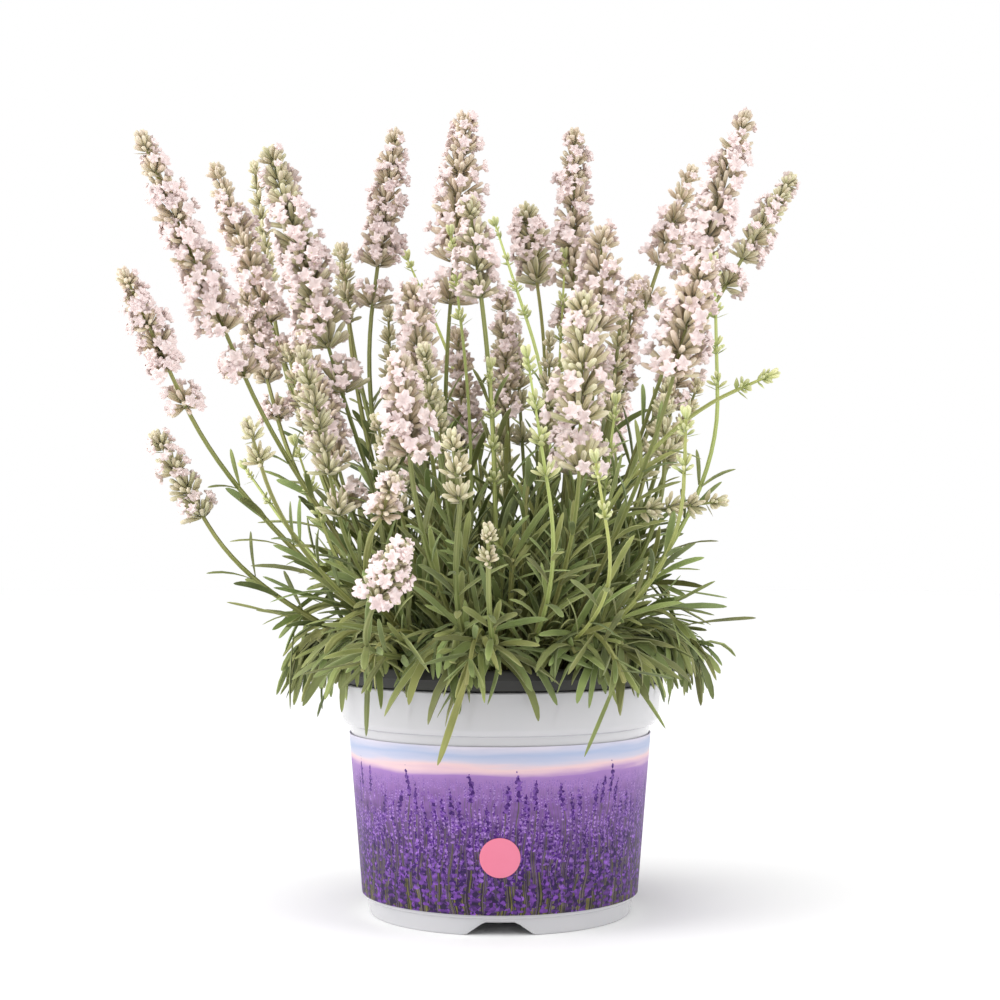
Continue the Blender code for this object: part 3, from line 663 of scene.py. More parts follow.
# Tiers of a whorl: how high it sits, in pitches from the whorl's middle, how many stand in it, and how far
# they lean out from the stem.
BLOOM_TIERS = ((0.20, 6, 0.42), (0.05, 9, 0.85), (-0.10, 9, 1.28))
BUD_TIERS = ((0.14, 5, 0.40), (0.02, 6, 0.80), (-0.10, 6, 1.18))
YOUNG_TIERS = ((0.05, 4, 0.55), (-0.08, 5, 1.05))
CALYX_SHARE = 0.66  # a calyx's length, in the whorl's radius
CALYX_WIDTH = 0.00094
BUD_SHARE = 0.76
BUD_WIDTH = 0.00098
COROLLA_REACH = 0.0027
COROLLA_RADIUS = 0.0027
OPEN_SHARES = (0.42, 0.74)  # of a spike's calyces
BLOOM_REACH = 1.16  # flowers reach past the girth of their calyces
BRACT_LENGTH = 0.0050
BRACT_DROP = 0.0032  # below the middle of its whorl
BRACT_OUT = 0.0006
FULL_RADIUS = 0.0105  # of a whorl whose flowers are full size
COROLLA_SUNK = 0.0008  # into the mouth of its calyx
TOP_BUDS = 4  # at the tip of every spike
TOP_BUD_DROP = 0.0035
TOP_BUD_OUT = 0.0003
TOP_BUD_LENGTH = 0.0048
TOP_BUD_WIDTH = 0.0010


def ring_ways(along, count, lean, rng, first):
    """Directions round a stem that lean out from it."""
    side = unit(np.cross(along, [0.31, 0.17, 0.9]))
    other = np.cross(along, side)
    for k in range(count):
        turn = 2 * math.pi * (k + first) / count + rng.uniform(-0.22, 0.22)
        out = side * math.cos(turn) + other * math.sin(turn)
        tilt = lean + rng.uniform(-0.14, 0.14)
        yield unit(along * math.cos(tilt) + out * math.sin(tilt)), out


def calyx_ring(bm, shape, centre, along, radius, pitch, tiers, share, proportions, shade, rng):
    """Tiers of calyces or buds round the stem. Gives each one's mouth, the way it points and its size."""
    for height, count, lean in tiers:
        for way, out in ring_ways(along, count, lean * (1 - 0.25 * share), rng, rng.random()):
            length = radius * proportions[0] * rng.uniform(0.72, 1.15)
            way = unit(way + out * rng.uniform(-0.2, 0.3) + np.cross(along, out) * rng.uniform(-0.3, 0.3))
            rise = pitch * (height + rng.uniform(-0.08, 0.08)) - length * 0.2
            base = centre + along * rise + out * radius * 0.10
            size = (radius / FULL_RADIUS) ** 0.5 * rng.uniform(0.85, 1.12)
            shape.add_to(bm, placed(shape, base, way, length, proportions[1] * size, rng.uniform(0, 6)),
                         0.55 * shade + 0.45 * rng.random())
            yield base + way * length * 0.92, way, out, size


def bloom_whorl(bm, centre, along, radius, pitch, rng, share, shade, openness):
    """Calyces round the stem, with a corolla open on a share of them."""
    spots = calyx_ring(bm, SHAPES["calyx"], centre, along, radius, pitch, BLOOM_TIERS, share,
                       (CALYX_SHARE, CALYX_WIDTH), shade, rng)
    openness *= rng.uniform(0.6, 1.3)
    for mouth, way, out, size in spots:
        if rng.random() < openness:
            facing = unit(way * 0.7 + out * 0.6 + np.array([0, 0, rng.uniform(-0.4, 0.3)]))
            wide = COROLLA_RADIUS * size * rng.uniform(0.72, 1.2)
            SHAPES["corolla"].add_to(bm, placed(SHAPES["corolla"], mouth - way * COROLLA_SUNK, facing,
                                                COROLLA_REACH * size, wide, rng.uniform(-0.6, 0.6)),
                                     rng.random())


def bud_whorl(bm, centre, along, radius, pitch, rng, share, tiers, shade):
    """Closed buds that point up and out."""
    for _ in calyx_ring(bm, SHAPES["bud"], centre, along, radius, pitch, tiers, share,
                        (BUD_SHARE, BUD_WIDTH), shade, rng):
        pass


def bracts(bm, centre, along, radius, rng):
    """Two papery bracts under a whorl."""
    for way, out in ring_ways(along, 2, 1.15, rng, rng.random()):
        base = centre - along * BRACT_DROP + out * BRACT_OUT
        SHAPES["bract"].add_to(bm, placed(SHAPES["bract"], base, way, BRACT_LENGTH, radius * 0.20, 0.0),
                               0.1 * rng.random())


def flower_spike(bm, limb, rng):
    foot, tip = limb["controls"][3], limb["controls"][4]
    along, length = unit(tip - foot), np.linalg.norm(tip - foot)
    kind = limb["kind"]
    rings = whorls(kind, length, limb["girth"])
    pitch = length / len(rings)
    shade, openness = rng.random(), rng.uniform(*OPEN_SHARES)
    for distance, radius in rings:
        centre, share = foot + along * distance, distance / length
        bracts(bm, centre, along, radius, rng)
        if kind == "bloom":
            still_open = openness * min(1.0, (1.12 - share) / 0.55)
            bloom_whorl(bm, centre, along, radius * BLOOM_REACH, pitch, rng, share, shade, still_open)
        else:
            tiers = BUD_TIERS if kind == "bud" else YOUNG_TIERS
            bud_whorl(bm, centre, along, radius, pitch, rng, share, tiers, shade)
    crown = foot + along * (length - TOP_BUD_DROP)
    for way, out in ring_ways(along, TOP_BUDS, 0.30, rng, 0.0):
        SHAPES["bud"].add_to(bm, placed(SHAPES["bud"], crown + out * TOP_BUD_OUT, way, TOP_BUD_LENGTH,
                                        TOP_BUD_WIDTH, rng.uniform(0, 6)), rng.random())


def grow_stem(bm, limb, rng):
    path = curved_path(limb)
    _, _, side, _ = leaf_frame(limb_points(limb), 0)
    foot_share = 1.0
    if limb["kind"] != "leafy":
        foot_share = 1 - np.linalg.norm(limb["controls"][4] - limb["controls"][3]) / path.length
    thick = 0.85 if limb["kind"] == "young" else 1.0

    def width(x):
        return STEM_RADIUS * thick * np.interp(x, (0, foot_share, 1.001), STEM_TAPER)

    shape = SHAPES["stem"]
    shape.add_to(bm, bend(shape, path, side, width, twist=0.5), rng.random())


def grow_blades(bm, limb, rng):
    """Every leaf that the plan gives this stem, and the small ones at the tip of a shoot."""
    shape = SHAPES["leaf"]
    for leaf in limb.get("leaves", ()):
        path = Path(leaf_points(leaf, np.linspace(0, 1, 12)))
        width = leaf["width"] / 2 * rng.uniform(*BLADE_WIDTHS["stem"])
        shape.add_to(bm, bend(shape, path, leaf["across"], width, rng.uniform(-0.7, 0.7)), rng.random())
    if limb["kind"] == "leafy":
        points = limb_points(limb)
        along = unit(points[-2] - points[-3])
        for way, out in ring_ways(along, 4, 0.5, rng, 0.0):
            base, across = points[-2] - along * 0.002, np.cross(along, out)
            leaf = make_leaf(base, along, out, 0.0, 0.016 * rng.uniform(0.8, 1.2), 0.45)
            path = Path(leaf_points(leaf, np.linspace(0, 1, 8)))
            shape.add_to(bm, bend(shape, path, across, 0.0011), 0.6 + 0.4 * rng.random())


STEM_LEAF_STEPS = range(1, 7)
STEM_LEAF_LENGTH = 0.036
# How narrow and how wide leaves are shown, in LEAF_WIDTH, by where they grow.
BLADE_WIDTHS = {"stem": (0.5, 0.8), "inner": (0.45, 0.78), "skirt": (0.45, 0.95), "lip": (0.55, 1.1)}


def clear_of_pot(leaf):
    """Whether a leaf keeps clear of the grow pot's lip and wall."""
    points = leaf_points(leaf, np.linspace(0.1, 1, 9))
    out = np.linalg.norm(points[:, :2], axis=1)
    low = points[:, 2] < LIP_TOP + 2 * MM
    return not (low & (out < LIP_RADIUS + 2.5 * MM) & (out > MIX_RADIUS - 3 * MM)).any()


def add_blade(bm, leaf, width, rng, twist=0.6):
    shape = SHAPES["leaf"]
    if clear_of_pot(leaf):
        path = Path(leaf_points(leaf, np.linspace(0, 1, 12)))
        shape.add_to(bm, bend(shape, path, leaf["across"], width, rng.uniform(-twist, twist)), rng.random())


def stem_leaves(bm, limb, rng):
    """Pairs of narrow upright leaves on the lower half of a flower stem."""
    points = limb_points(limb)
    for step in STEM_LEAF_STEPS:
        middle, along, side, other = leaf_frame(points, step)
        for out in (side, -side) if step % 2 else (other, -other):
            length = STEM_LEAF_LENGTH * rng.uniform(0.7, 1.25) * (1 - 0.07 * step)
            leaf = make_leaf(middle + out * STEM_RADIUS * 0.7, along, out, rng.uniform(-0.5, 0.5), length,
                             rng.uniform(0.28, 0.7))
            add_blade(bm, leaf, LEAF_WIDTH / 2 * rng.uniform(*BLADE_WIDTHS["stem"]), rng)


INNER_SHOOTS = 54
INNER_PAIRS = 10
# From the middle of the plant, for the innermost shoot, and how much more for the outermost.
INNER_ROOT = (0.010, 0.032)
INNER_TIP = (0.016, 0.050)
INNER_RISE = (0.116, -0.068)


def inner_shoot(bm, number):
    """A short leafy shoot that fills the middle of the plant."""
    rng = random.Random(500 + number)
    turn = number * math.pi * (3 - math.sqrt(5))
    share = math.sqrt((number + 0.5) / INNER_SHOOTS)
    way = np.array([math.cos(turn), math.sin(turn), 0.0])
    near, far, rise = (first + more * share for first, more in (INNER_ROOT, INNER_TIP, INNER_RISE))
    rise *= rng.uniform(0.6, 1.12)
    root = np.array([*(way[:2] * near), mix_height(*(way[:2] * near)) - 0.003])
    tip = way * far + [0, 0, root[2] + rise]
    bow = (root + tip) / 2 + [0, 0, rise * 0.22] - way * 0.004
    path = Path(arc(root, bow, tip, np.linspace(0, 1, 14)))
    side = np.cross(way, [0.0, 0.0, 1.0])
    shape = SHAPES["stem"]
    shape.add_to(bm, bend(shape, path, side, lambda x: STEM_RADIUS * (1.0 - 0.35 * x)), rng.random())
    for pair in range(INNER_PAIRS):
        at = 0.18 + 0.80 * pair / (INNER_PAIRS - 1)
        middle = path.spot(at)
        along = unit(path.spot(min(at + 0.03, 1)) - path.spot(at - 0.03))
        first = rng.uniform(-0.4, 0.4) + (math.pi / 2 if pair % 2 else 0)
        for half in (0, math.pi):
            other = unit(np.cross(along, side))
            out = side * math.cos(first + half) + other * math.sin(first + half)
            length = LEAF_LENGTH * rng.uniform(0.7, 1.15) * (1 - 0.35 * at)
            leaf = make_leaf(middle, along, out, rng.uniform(-0.5, 0.5), length,
                             rng.uniform(0.25, 0.7) * (1 - 0.3 * at))
            add_blade(bm, leaf, LEAF_WIDTH / 2 * rng.uniform(*BLADE_WIDTHS["inner"]), rng)


SKIRT_SHOOTS = 44
SKIRT_LEAVES = 12
SKIRT_TRIES = 6
LIP_LEAVES = 7
SKIRT_ROOT = 0.038  # its distance from the middle
SKIRT_CREST = 0.058
SKIRT_TIPS = (0.0705, 0.077)
SKIRT_CREST_RISES = (0.005, 0.016)  # above the lip
SKIRT_TIP_RISES = (0.0035, 0.008)
SKIRT_SWAY = 0.012


def skirt_shoot(bm, number):
    """A shoot that lies over the lip, with leaves that hang outside it and along it."""
    rng = random.Random(900 + number)
    turn = 2 * math.pi * (number + rng.uniform(-0.35, 0.35)) / SKIRT_SHOOTS
    way = np.array([math.cos(turn), math.sin(turn), 0.0])
    side = np.cross([0.0, 0.0, 1.0], way)
    lean = side * rng.uniform(-SKIRT_SWAY, SKIRT_SWAY)
    root = way * SKIRT_ROOT + [0, 0, MIX_LEVEL + 1 * MM]
    crest = way * SKIRT_CREST + lean * 0.5 + [0, 0, LIP_TOP + rng.uniform(*SKIRT_CREST_RISES)]
    tip = way * rng.uniform(*SKIRT_TIPS) + lean + [0, 0, LIP_TOP + rng.uniform(*SKIRT_TIP_RISES)]
    path = Path(arc(root, 2 * crest - (root + tip) / 2, tip, np.linspace(0, 1, 12)))
    SHAPES["stem"].add_to(bm, bend(SHAPES["stem"], path, side, lambda x: STEM_RADIUS * (1.0 - 0.3 * x)),
                          rng.random())
    for k in range(SKIRT_LEAVES):
        at = 0.30 + 0.68 * k / (SKIRT_LEAVES - 1)
        base = path.spot(at)
        for _ in range(SKIRT_TRIES):
            swing = (1 if k % 2 else -1) * rng.uniform(0.1, 1.75)
            out = way * math.cos(swing) + side * math.sin(swing)
            length = LEAF_LENGTH * rng.uniform(0.5, 1.0)
            elbow = base + out * length * 0.48 + [0, 0, length * rng.uniform(-0.10, 0.26)]
            curl = side * length * rng.uniform(-0.4, 0.4)
            drop = rng.uniform(0.0, 0.8) * (0.35 + 0.65 * at)
            end = base + out * length * rng.uniform(0.50, 0.80) + curl - [0, 0, length * drop]
            leaf = {"curve": (base, elbow, end), "across": np.cross([0.0, 0.0, 1.0], out)}
            if clear_of_pot(leaf):
                break
        add_blade(bm, leaf, LEAF_WIDTH / 2 * rng.uniform(*BLADE_WIDTHS["skirt"]), rng, 1.3)
    for k in range(LIP_LEAVES):
        base = path.spot(rng.uniform(0.84, 1.0))
        out = unit(side * (1 if k % 2 else -1) + way * rng.uniform(0.0, 1.1))
        length = LEAF_LENGTH * rng.uniform(0.55, 0.95)
        elbow = base + out * length * 0.5 - [0, 0, length * rng.uniform(0.0, 0.25)]
        end = base + out * length * rng.uniform(0.55, 0.85) - [0, 0, length * rng.uniform(0.35, 0.95)]
        leaf = {"curve": (base, elbow, end), "across": unit(np.cross(out, way + [0, 0, 0.6]))}
        add_blade(bm, leaf, LEAF_WIDTH / 2 * rng.uniform(*BLADE_WIDTHS["lip"]), rng, 1.5)


# More spikes between the planned ones: kind, foot and tip in mm above the pot, girth in mm.
FILLER_SPIKES = (
    ("bloom", (-60, -12, 70), (-79, -18, 138), 20),
    ("bloom", (-14, 14, 93), (-18, 16, 143), 18),
    ("bloom", (49, 18, 117), (57, 20, 166), 18),
    ("bloom", (70, 12, 108), (78, 14, 155), 17),
    ("bloom", (-92, 12, 108), (-106, 14, 160), 18),
    ("bloom", (3, -6, 104), (1, -8, 156), 17),
    ("bloom", (27, -24, 80), (31, -28, 130), 19),
    ("bud", (-30, -8, 92), (-30, -10, 142), 15),
    ("bud", (44, -6, 104), (49, -8, 150), 15),
    ("bud", (-76, 8, 92), (-88, 10, 136), 15),
    ("bud", (-44, 8, 100), (-46, 10, 152), 15),
    ("bud", (9, 4, 97), (6, 6, 147), 16),
    ("bud", (19, -10, 99), (20, -12, 139), 14),
    ("bud", (57, -14, 80), (67, -18, 120), 16),
    ("bud", (68, 8, 85), (82, 10, 122), 14),
    ("bud", (-63, 22, 146), (-66, 24, 180), 14),
    ("bud", (-21, -30, 74), (-24, -34, 112), 15),
    ("bud", (-38, -34, 66), (-48, -40, 104), 15),
    ("young", (-2, -32, 74), (-4, -36, 126), 11),
    ("young", (-68, -30, 60), (-80, -34, 96), 11),
    ("young", (40, -32, 70), (45, -38, 112), 11),
    ("young", (-15, -12, 138), (-20, -14, 181), 10),
    ("young", (24, 10, 120), (27, 12, 176), 10),
)


def filler_spike(bm, number, kind, foot, tip, girth):
    """A spike on its stem with no node of its own."""
    limb = flower_limb(f"filler_{number}", kind, foot, tip, girth)
    shape_limb(limb, np.array([*limb["root"], mix_height(*limb["root"]) - 0.003]))
    rng = random.Random(1500 + number)
    grow_stem(bm, limb, rng)
    stem_leaves(bm, limb, rng)
    flower_spike(bm, limb, rng)


SLOTS = {"bloom": "pale_bloom", "bud": "green_bud", "young": "lime_bud", "leafy": "sage_leaf"}


def plant_piece(limb, number, looks):
    rng = random.Random(1000 + number)
    bm = bmesh.new()
    grow_stem(bm, limb, rng)
    grow_blades(bm, limb, rng)
    if limb["kind"] != "leafy":
        stem_leaves(bm, limb, rng)
        flower_spike(bm, limb, rng)
    finish(bm, f"{limb['name']}_grown", looks, limb["name"], SLOTS[limb["kind"]])


def finish(bm, name, looks, node, slot, smooth_below=None):
    """Turns a bmesh into a shown piece, which stands for a node of the frame where one is given."""
    mesh = new_mesh(name, bm)
    for look in looks:
        mesh.materials.append(look)
    if smooth_below:
        mesh.shade_smooth()
        mesh.set_sharp_from_angle(angle=smooth_below)
    obj = new_object(name, mesh)
    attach(obj, "root")
    if node:
        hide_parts(node)
    return obj


# Turned pieces

SPIN_STEPS = 180
ROUND_STEPS = 4


def rounded(profile, sizes):
    """The profile with an arc at each corner of the given size (0 keeps it sharp)."""
    made = []
    count = len(profile)
    for k, (point, size) in enumerate(zip(profile, sizes)):
        here = np.array(point, float)
        if not size:
            made.append(tuple(here))
            continue
        back, ahead = np.array(profile[k - 1], float), np.array(profile[(k + 1) % count], float)
        size = min(size, np.linalg.norm(back - here) * 0.45, np.linalg.norm(ahead - here) * 0.45)
        start, end = here + unit(back - here) * size, here + unit(ahead - here) * size
        for t in np.linspace(0, 1, ROUND_STEPS + 1):
            made.append(tuple(start * (1 - t) ** 2 + here * 2 * t * (1 - t) + end * t * t))
    return made


def turned(profile, closed_ring):
    """A bmesh spun round Z from a profile of (radius, height) points."""
    bm = bmesh.new()
    ring = [bm.verts.new((radius, 0, z)) for radius, z in profile]
    ends = ring[1:] + ring[:1] if closed_ring else ring[1:]
    edges = [bm.edges.new(pair) for pair in zip(ring, ends)]
    bmesh.ops.spin(bm, geom=ring + edges, axis=(0, 0, 1), steps=SPIN_STEPS, angle=2 * math.pi,
                   use_merge=True)
    bmesh.ops.remove_doubles(bm, verts=bm.verts, dist=1e-6)
    face_outwards(bm)
    return bm


def drilled(obj, low, high):
    """Cuts the drain holes through a pot's floor."""
    for k in range(DRAIN_COUNT):
        turn = 2 * math.pi * (k + 0.5) / DRAIN_COUNT
        centre = (DRAIN_CIRCLE * math.cos(turn), DRAIN_CIRCLE * math.sin(turn), (low + high) / 2)
        bm = bmesh.new()
        bmesh.ops.create_cone(bm, cap_ends=True, segments=32, radius1=DRAIN_RADIUS, radius2=DRAIN_RADIUS,
                              depth=high - low, matrix=Matrix.Translation(centre))
        cutter = new_object("drain", new_mesh("drain", bm))
        modifier = obj.modifiers.new("drain", "BOOLEAN")
        modifier.operation = "DIFFERENCE"
        modifier.object = cutter
        graph = bpy.context.evaluated_depsgraph_get()
        carved = bpy.data.meshes.new_from_object(obj.evaluated_get(graph))
        obj.modifiers.remove(modifier)
        obj.data = carved
        bpy.data.objects.remove(cutter)


def notch_rise(x):
    """How high the foot's lower edge is, x along its front from the middle of a notch."""
    slope = (NOTCH_FOOT_WIDTH - NOTCH_TOP_WIDTH) / 2
    return NOTCH_HEIGHT * min(1.0, max(0.0, (NOTCH_FOOT_WIDTH / 2 - abs(x)) / slope))


def white_pot(look):
    band_bottom = POT_HEIGHT - RIM_BAND_HEIGHT
    corner = FLOOR_HEIGHT + 3 * MM
    foot_inside = FOOT_RADIUS - FOOT_WIDTH
    band_radius = BODY_TOP_RADIUS + RIM_BAND_STEP
    profile = [
        (0, FLOOR_HEIGHT, 0),
        (foot_inside - 0.6 * MM, FLOOR_HEIGHT, 0.4),
        (foot_inside, 0, 0.3),
        (FOOT_RADIUS - 0.3 * MM, 0, 0.6),
        (FOOT_RADIUS + 0.8 * MM, FOOT_HEIGHT - 0.6 * MM, 0.4),
        (BODY_BOTTOM_RADIUS, FOOT_HEIGHT, 0.5),
        (BODY_TOP_RADIUS, band_bottom, 0.5),
        (band_radius, band_bottom + 0.6 * MM, 0.7),
        (band_radius + 1 * MM, band_bottom + 2.5 * MM, 0.8),
        (POT_RIM_RADIUS, POT_HEIGHT - 0.4 * MM, 0.8),
        (POT_RIM_RADIUS - 0.8 * MM, POT_HEIGHT, 0.5),
        (POT_RIM_RADIUS - POT_WALL - 1.2 * MM, POT_HEIGHT, 0.4),
        (band_radius - POT_WALL, band_bottom + 3.5 * MM, 0.8),
        (BODY_TOP_RADIUS - POT_WALL, band_bottom, 0.6),
        (body_radius(corner) - POT_WALL, corner, 1.5),
        (body_radius(corner) - POT_WALL - 3 * MM, FLOOR_HEIGHT + FLOOR_THICKNESS, 1.5),
        (0, FLOOR_HEIGHT + FLOOR_THICKNESS, 0),
    ]
    bm = turned(rounded([p[:2] for p in profile], [p[2] * MM for p in profile]), False)
    for vert in bm.verts:
        out = math.hypot(vert.co.x, vert.co.y)
        if vert.co.z < FLOOR_HEIGHT - 0.1 * MM and out > foot_inside - 1 * MM:
            turn = math.atan2(vert.co.x, -vert.co.y) % (2 * math.pi / NOTCH_COUNT)
            turn = min(turn, 2 * math.pi / NOTCH_COUNT - turn)
            rise = notch_rise(math.sin(turn) * out)
            vert.co.z = rise + vert.co.z * (1 - rise / FOOT_HEIGHT)
    obj = finish(bm, "white_pot_moulded", [look], "white_pot", "gloss_white", 0.5)
    drilled(obj, FLOOR_HEIGHT - 2 * MM, FLOOR_HEIGHT + 4 * MM)


def wrap_uv(bm, low, high):
    """A UV map that runs round the piece and up it, in the piece's own height."""
    layer = bm.loops.layers.uv.new("wrap")
    around = 2 * math.pi * body_radius((low + high) / 2) / (high - low)
    for face in bm.faces:
        middle = face.calc_center_median()
        centre_turn = math.atan2(middle.x, -middle.y)
        for loop in face.loops:
            turn = math.atan2(loop.vert.co.x, -loop.vert.co.y)
            if turn - centre_turn > math.pi:
                turn -= 2 * math.pi
            elif centre_turn - turn > math.pi:
                turn += 2 * math.pi
            loop[layer].uv = (turn / (2 * math.pi) * around, (loop.vert.co.z - low) / (high - low))


def printed_sleeve(look):
    inner = [(body_radius(z) + GAP, z) for z in (SLEEVE_BOTTOM, SLEEVE_TOP)]
    outer = [(radius + SLEEVE_THICKNESS, z) for radius, z in inner]
    bm = turned(outer + inner[::-1], True)
    wrap_uv(bm, SLEEVE_BOTTOM, SLEEVE_TOP)
    finish(bm, "printed_sleeve_wrap", [look], "printed_sleeve", "sleeve_print", 0.5)


def round_sticker(look):
    """A disc bent round the front of the sleeve, with a pressed edge."""
    bm = bmesh.new()
    bmesh.ops.create_cone(bm, cap_ends=True, segments=96, radius1=STICKER_RADIUS,
                          radius2=STICKER_RADIUS, depth=STICKER_THICKNESS)
    caps = [face for face in bm.faces if len(face.verts) > 4]
    for inset in (0.10, 0.25, 0.30, 0.30, 0.30):
        bmesh.ops.inset_individual(bm, faces=caps, thickness=STICKER_RADIUS * inset * 0.7)
    for vert in bm.verts:
        z = STICKER_HEIGHT + vert.co.y
        edge = math.hypot(vert.co.x, vert.co.y) > STICKER_RADIUS * 0.98
        lift = STICKER_THICKNESS * (0.6 if edge else 1.0) if vert.co.z > 0 else 0
        turn = vert.co.x / body_radius(z)
        radius = body_radius(z) + 2 * GAP + SLEEVE_THICKNESS + lift
        vert.co = (radius * math.sin(turn), -radius * math.cos(turn), z)
    face_outwards(bm)
    finish(bm, "round_sticker_disc", [look], "round_sticker", "sticker_pink", 0.6)


def grow_pot(look):
    floor = GROW_FLOOR
    shoulder = POT_HEIGHT + GAP
    low, top = grow_radius(floor) - 3 * MM, grow_radius(POT_HEIGHT - RIM_BAND_HEIGHT)
    profile = [
        (0, floor, 0),
        (low, floor, 1.0),
        (grow_radius(floor + 3 * MM), floor + 3 * MM, 1.0),
        (top, shoulder, 0.3),
        (POT_RIM_RADIUS - 0.4 * MM, shoulder, 0.5),
        (POT_RIM_RADIUS + 1 * MM, shoulder + NECK_RISE - 1 * MM, 0.8),
        (LIP_RADIUS - 1.2 * MM, LIP_TOP - LIP_DROP + 1.2 * MM, 0.6),
        (LIP_RADIUS - 1 * MM, LIP_TOP - LIP_DROP, 0.3),
        (LIP_RADIUS, LIP_TOP - LIP_DROP, 0.3),
        (LIP_RADIUS, LIP_TOP, 1.3),
        (POT_RIM_RADIUS - GROW_WALL + 0.8 * MM, LIP_TOP - 0.6 * MM, 1.0),
        (POT_RIM_RADIUS - 0.4 * MM - GROW_WALL, shoulder + GROW_WALL, 0.8),
        (top - GROW_WALL, shoulder + GROW_WALL, 0.8),
        (grow_radius(floor + 3 * MM) - GROW_WALL, floor + 3 * MM + GROW_WALL, 1.0),
        (low - GROW_WALL / 2, floor + GROW_WALL, 1.0),
        (0, floor + GROW_WALL, 0),
    ]
    bm = turned(rounded([p[:2] for p in profile], [p[2] * MM for p in profile]), False)
    obj = finish(bm, "grow_pot_moulded", [look], "grow_pot", "black_plastic", 0.6)
    drilled(obj, floor - 2 * MM, floor + 4 * MM)


CRUMBS = 520
MIX_RINGS = 26


def potting_mix(look):
    """The mix, with a rough top and crumbs on it."""
    floor = GROW_FLOOR + GROW_WALL + GAP + MIX_SLACK
    corner = floor + 4 * MM
    slack = GROW_WALL + MIX_SLACK
    profile = [(0, floor), (grow_radius(floor) - 5 * MM - slack, floor),
               (grow_radius(corner) - 0.4 * MM - slack, corner), (MIX_RADIUS, MIX_LEVEL)]
    profile += [(MIX_RADIUS * s, mix_height(MIX_RADIUS * s, 0)) for s in np.linspace(1, 0, MIX_RINGS)[1:]]
    bm = turned(profile, False)
    for vert in bm.verts:
        if vert.co.z > MIX_LEVEL + 0.02 * MM:
            place = Vector((vert.co.x, vert.co.y, 0.4))
            vert.co.z += 1.3 * MM * noise.noise(place * 160) + 0.9 * MM * noise.noise(place * 420)
    rng = random.Random(7)
    crumb = bmesh.new()
    bmesh.ops.create_icosphere(crumb, subdivisions=1, radius=1)
    shape = Shape("crumb", crumb, 0)
    for _ in range(CRUMBS):
        out, turn = MIX_RADIUS * math.sqrt(rng.random()) * 0.97, rng.uniform(0, 2 * math.pi)
        x, y = out * math.cos(turn), out * math.sin(turn)
        size = rng.uniform(0.5, 1.5) * MM
        way = unit(np.array([rng.uniform(-1, 1), rng.uniform(-1, 1), rng.uniform(-0.4, 0.4)]))
        base = np.array([x, y, mix_height(x, y) + 0.2 * MM])
        shape.add_to(bm, placed(shape, base, way, size * rng.uniform(1, 2.4), size * 0.8), rng.random())
    finish(bm, "potting_mix_crumbled", [look], "potting_mix", "peat")


CROWN_TWIGS = 9


def woody_crown(look):
    """A gnarled stub with short branches that fork from it."""
    rng = random.Random(11)
    bm = bmesh.new()
    base = MIX_LEVEL + MIX_MOUND - 4 * MM
    shape = SHAPES["stem"]
    side = np.array([1.0, 0.2, 0.0])
    trunk = Path([[0, 0, base], [0.4 * MM, 0, base + 5 * MM], [-0.5 * MM, 0.3 * MM, base + 12 * MM]])
    shape.add_to(bm, bend(shape, trunk, side, lambda x: CROWN_RADIUS * (1 - 0.45 * x)), 0.5)
    for k in range(CROWN_TWIGS):
        turn = 2 * math.pi * k / CROWN_TWIGS + rng.uniform(-0.2, 0.2)
        out = np.array([math.cos(turn), math.sin(turn), 0])
        reach, rise = CROWN_REACH * rng.uniform(0.7, 1.0), CROWN_HEIGHT * rng.uniform(0.65, 1.0)
        start = np.array([0, 0, base + rng.uniform(4, 9) * MM])
        path = Path([start,
                     start + out * reach * 0.6 + [0, 0, rise * 0.15],
                     start + out * reach * 0.9 + [0, 0, rise * 0.5],
                     start + out * reach + [0, 0, rise * 0.8]])
        thick = rng.uniform(1.3, 2.0) * MM
        shape.add_to(bm, bend(shape, path, np.cross(out, [0.0, 0.0, 1.0]), lambda x: thick * (1 - 0.5 * x)),
                     rng.random())
    finish(bm, "woody_crown_gnarled", [look], "woody_crown", "bark")


# Finishes

WHITE = (1.0, 1.0, 1.0, 1.0)


def rgb(red, green, blue):
    """A colour given as it looks on a screen, 0 to 255, made linear."""
    channels = [c / 255 for c in (red, green, blue)]
    return (*(c / 12.92 if c <= 0.04045 else ((c + 0.055) / 1.055) ** 2.4 for c in channels), 1.0)


def add(tree, kind, inputs=None, **settings):
    """A node with its settings, its inputs set or linked by name."""
    node = tree.nodes.new(kind)
    for key, value in settings.items():
        setattr(node, key, value)
    for key, value in (inputs or {}).items():
        if isinstance(value, bpy.types.NodeSocket):
            tree.links.new(value, node.inputs[key])
        else:
            node.inputs[key].default_value = value
    return node


def calc(tree, operation, *values):
    return add(tree, "ShaderNodeMath", dict(enumerate(values)), operation=operation).outputs[0]


def blend_colour(tree, share, first, second):
    return add(tree, "ShaderNodeMix", {0: share, 6: first, 7: second}, data_type="RGBA").outputs[2]


def spread(tree, value, low, high, to_low=0.0, to_high=1.0):
    return add(tree, "ShaderNodeMapRange", {"Value": value, "From Min": low, "From Max": high,
                                            "To Min": to_low, "To Max": to_high}).outputs[0]


def ramp(tree, value, stops):
    node = add(tree, "ShaderNodeValToRGB", {"Fac": value})
    elements = node.color_ramp.elements
    while len(elements) < len(stops):
        elements.new(0.5)
    for element, (place, colour) in zip(elements, stops):
        element.position, element.color = place, colour
    return node.outputs["Color"]


SOCKETS = {"value": "NodeSocketFloat", "colour": "NodeSocketColor", "vector": "NodeSocketVector"}


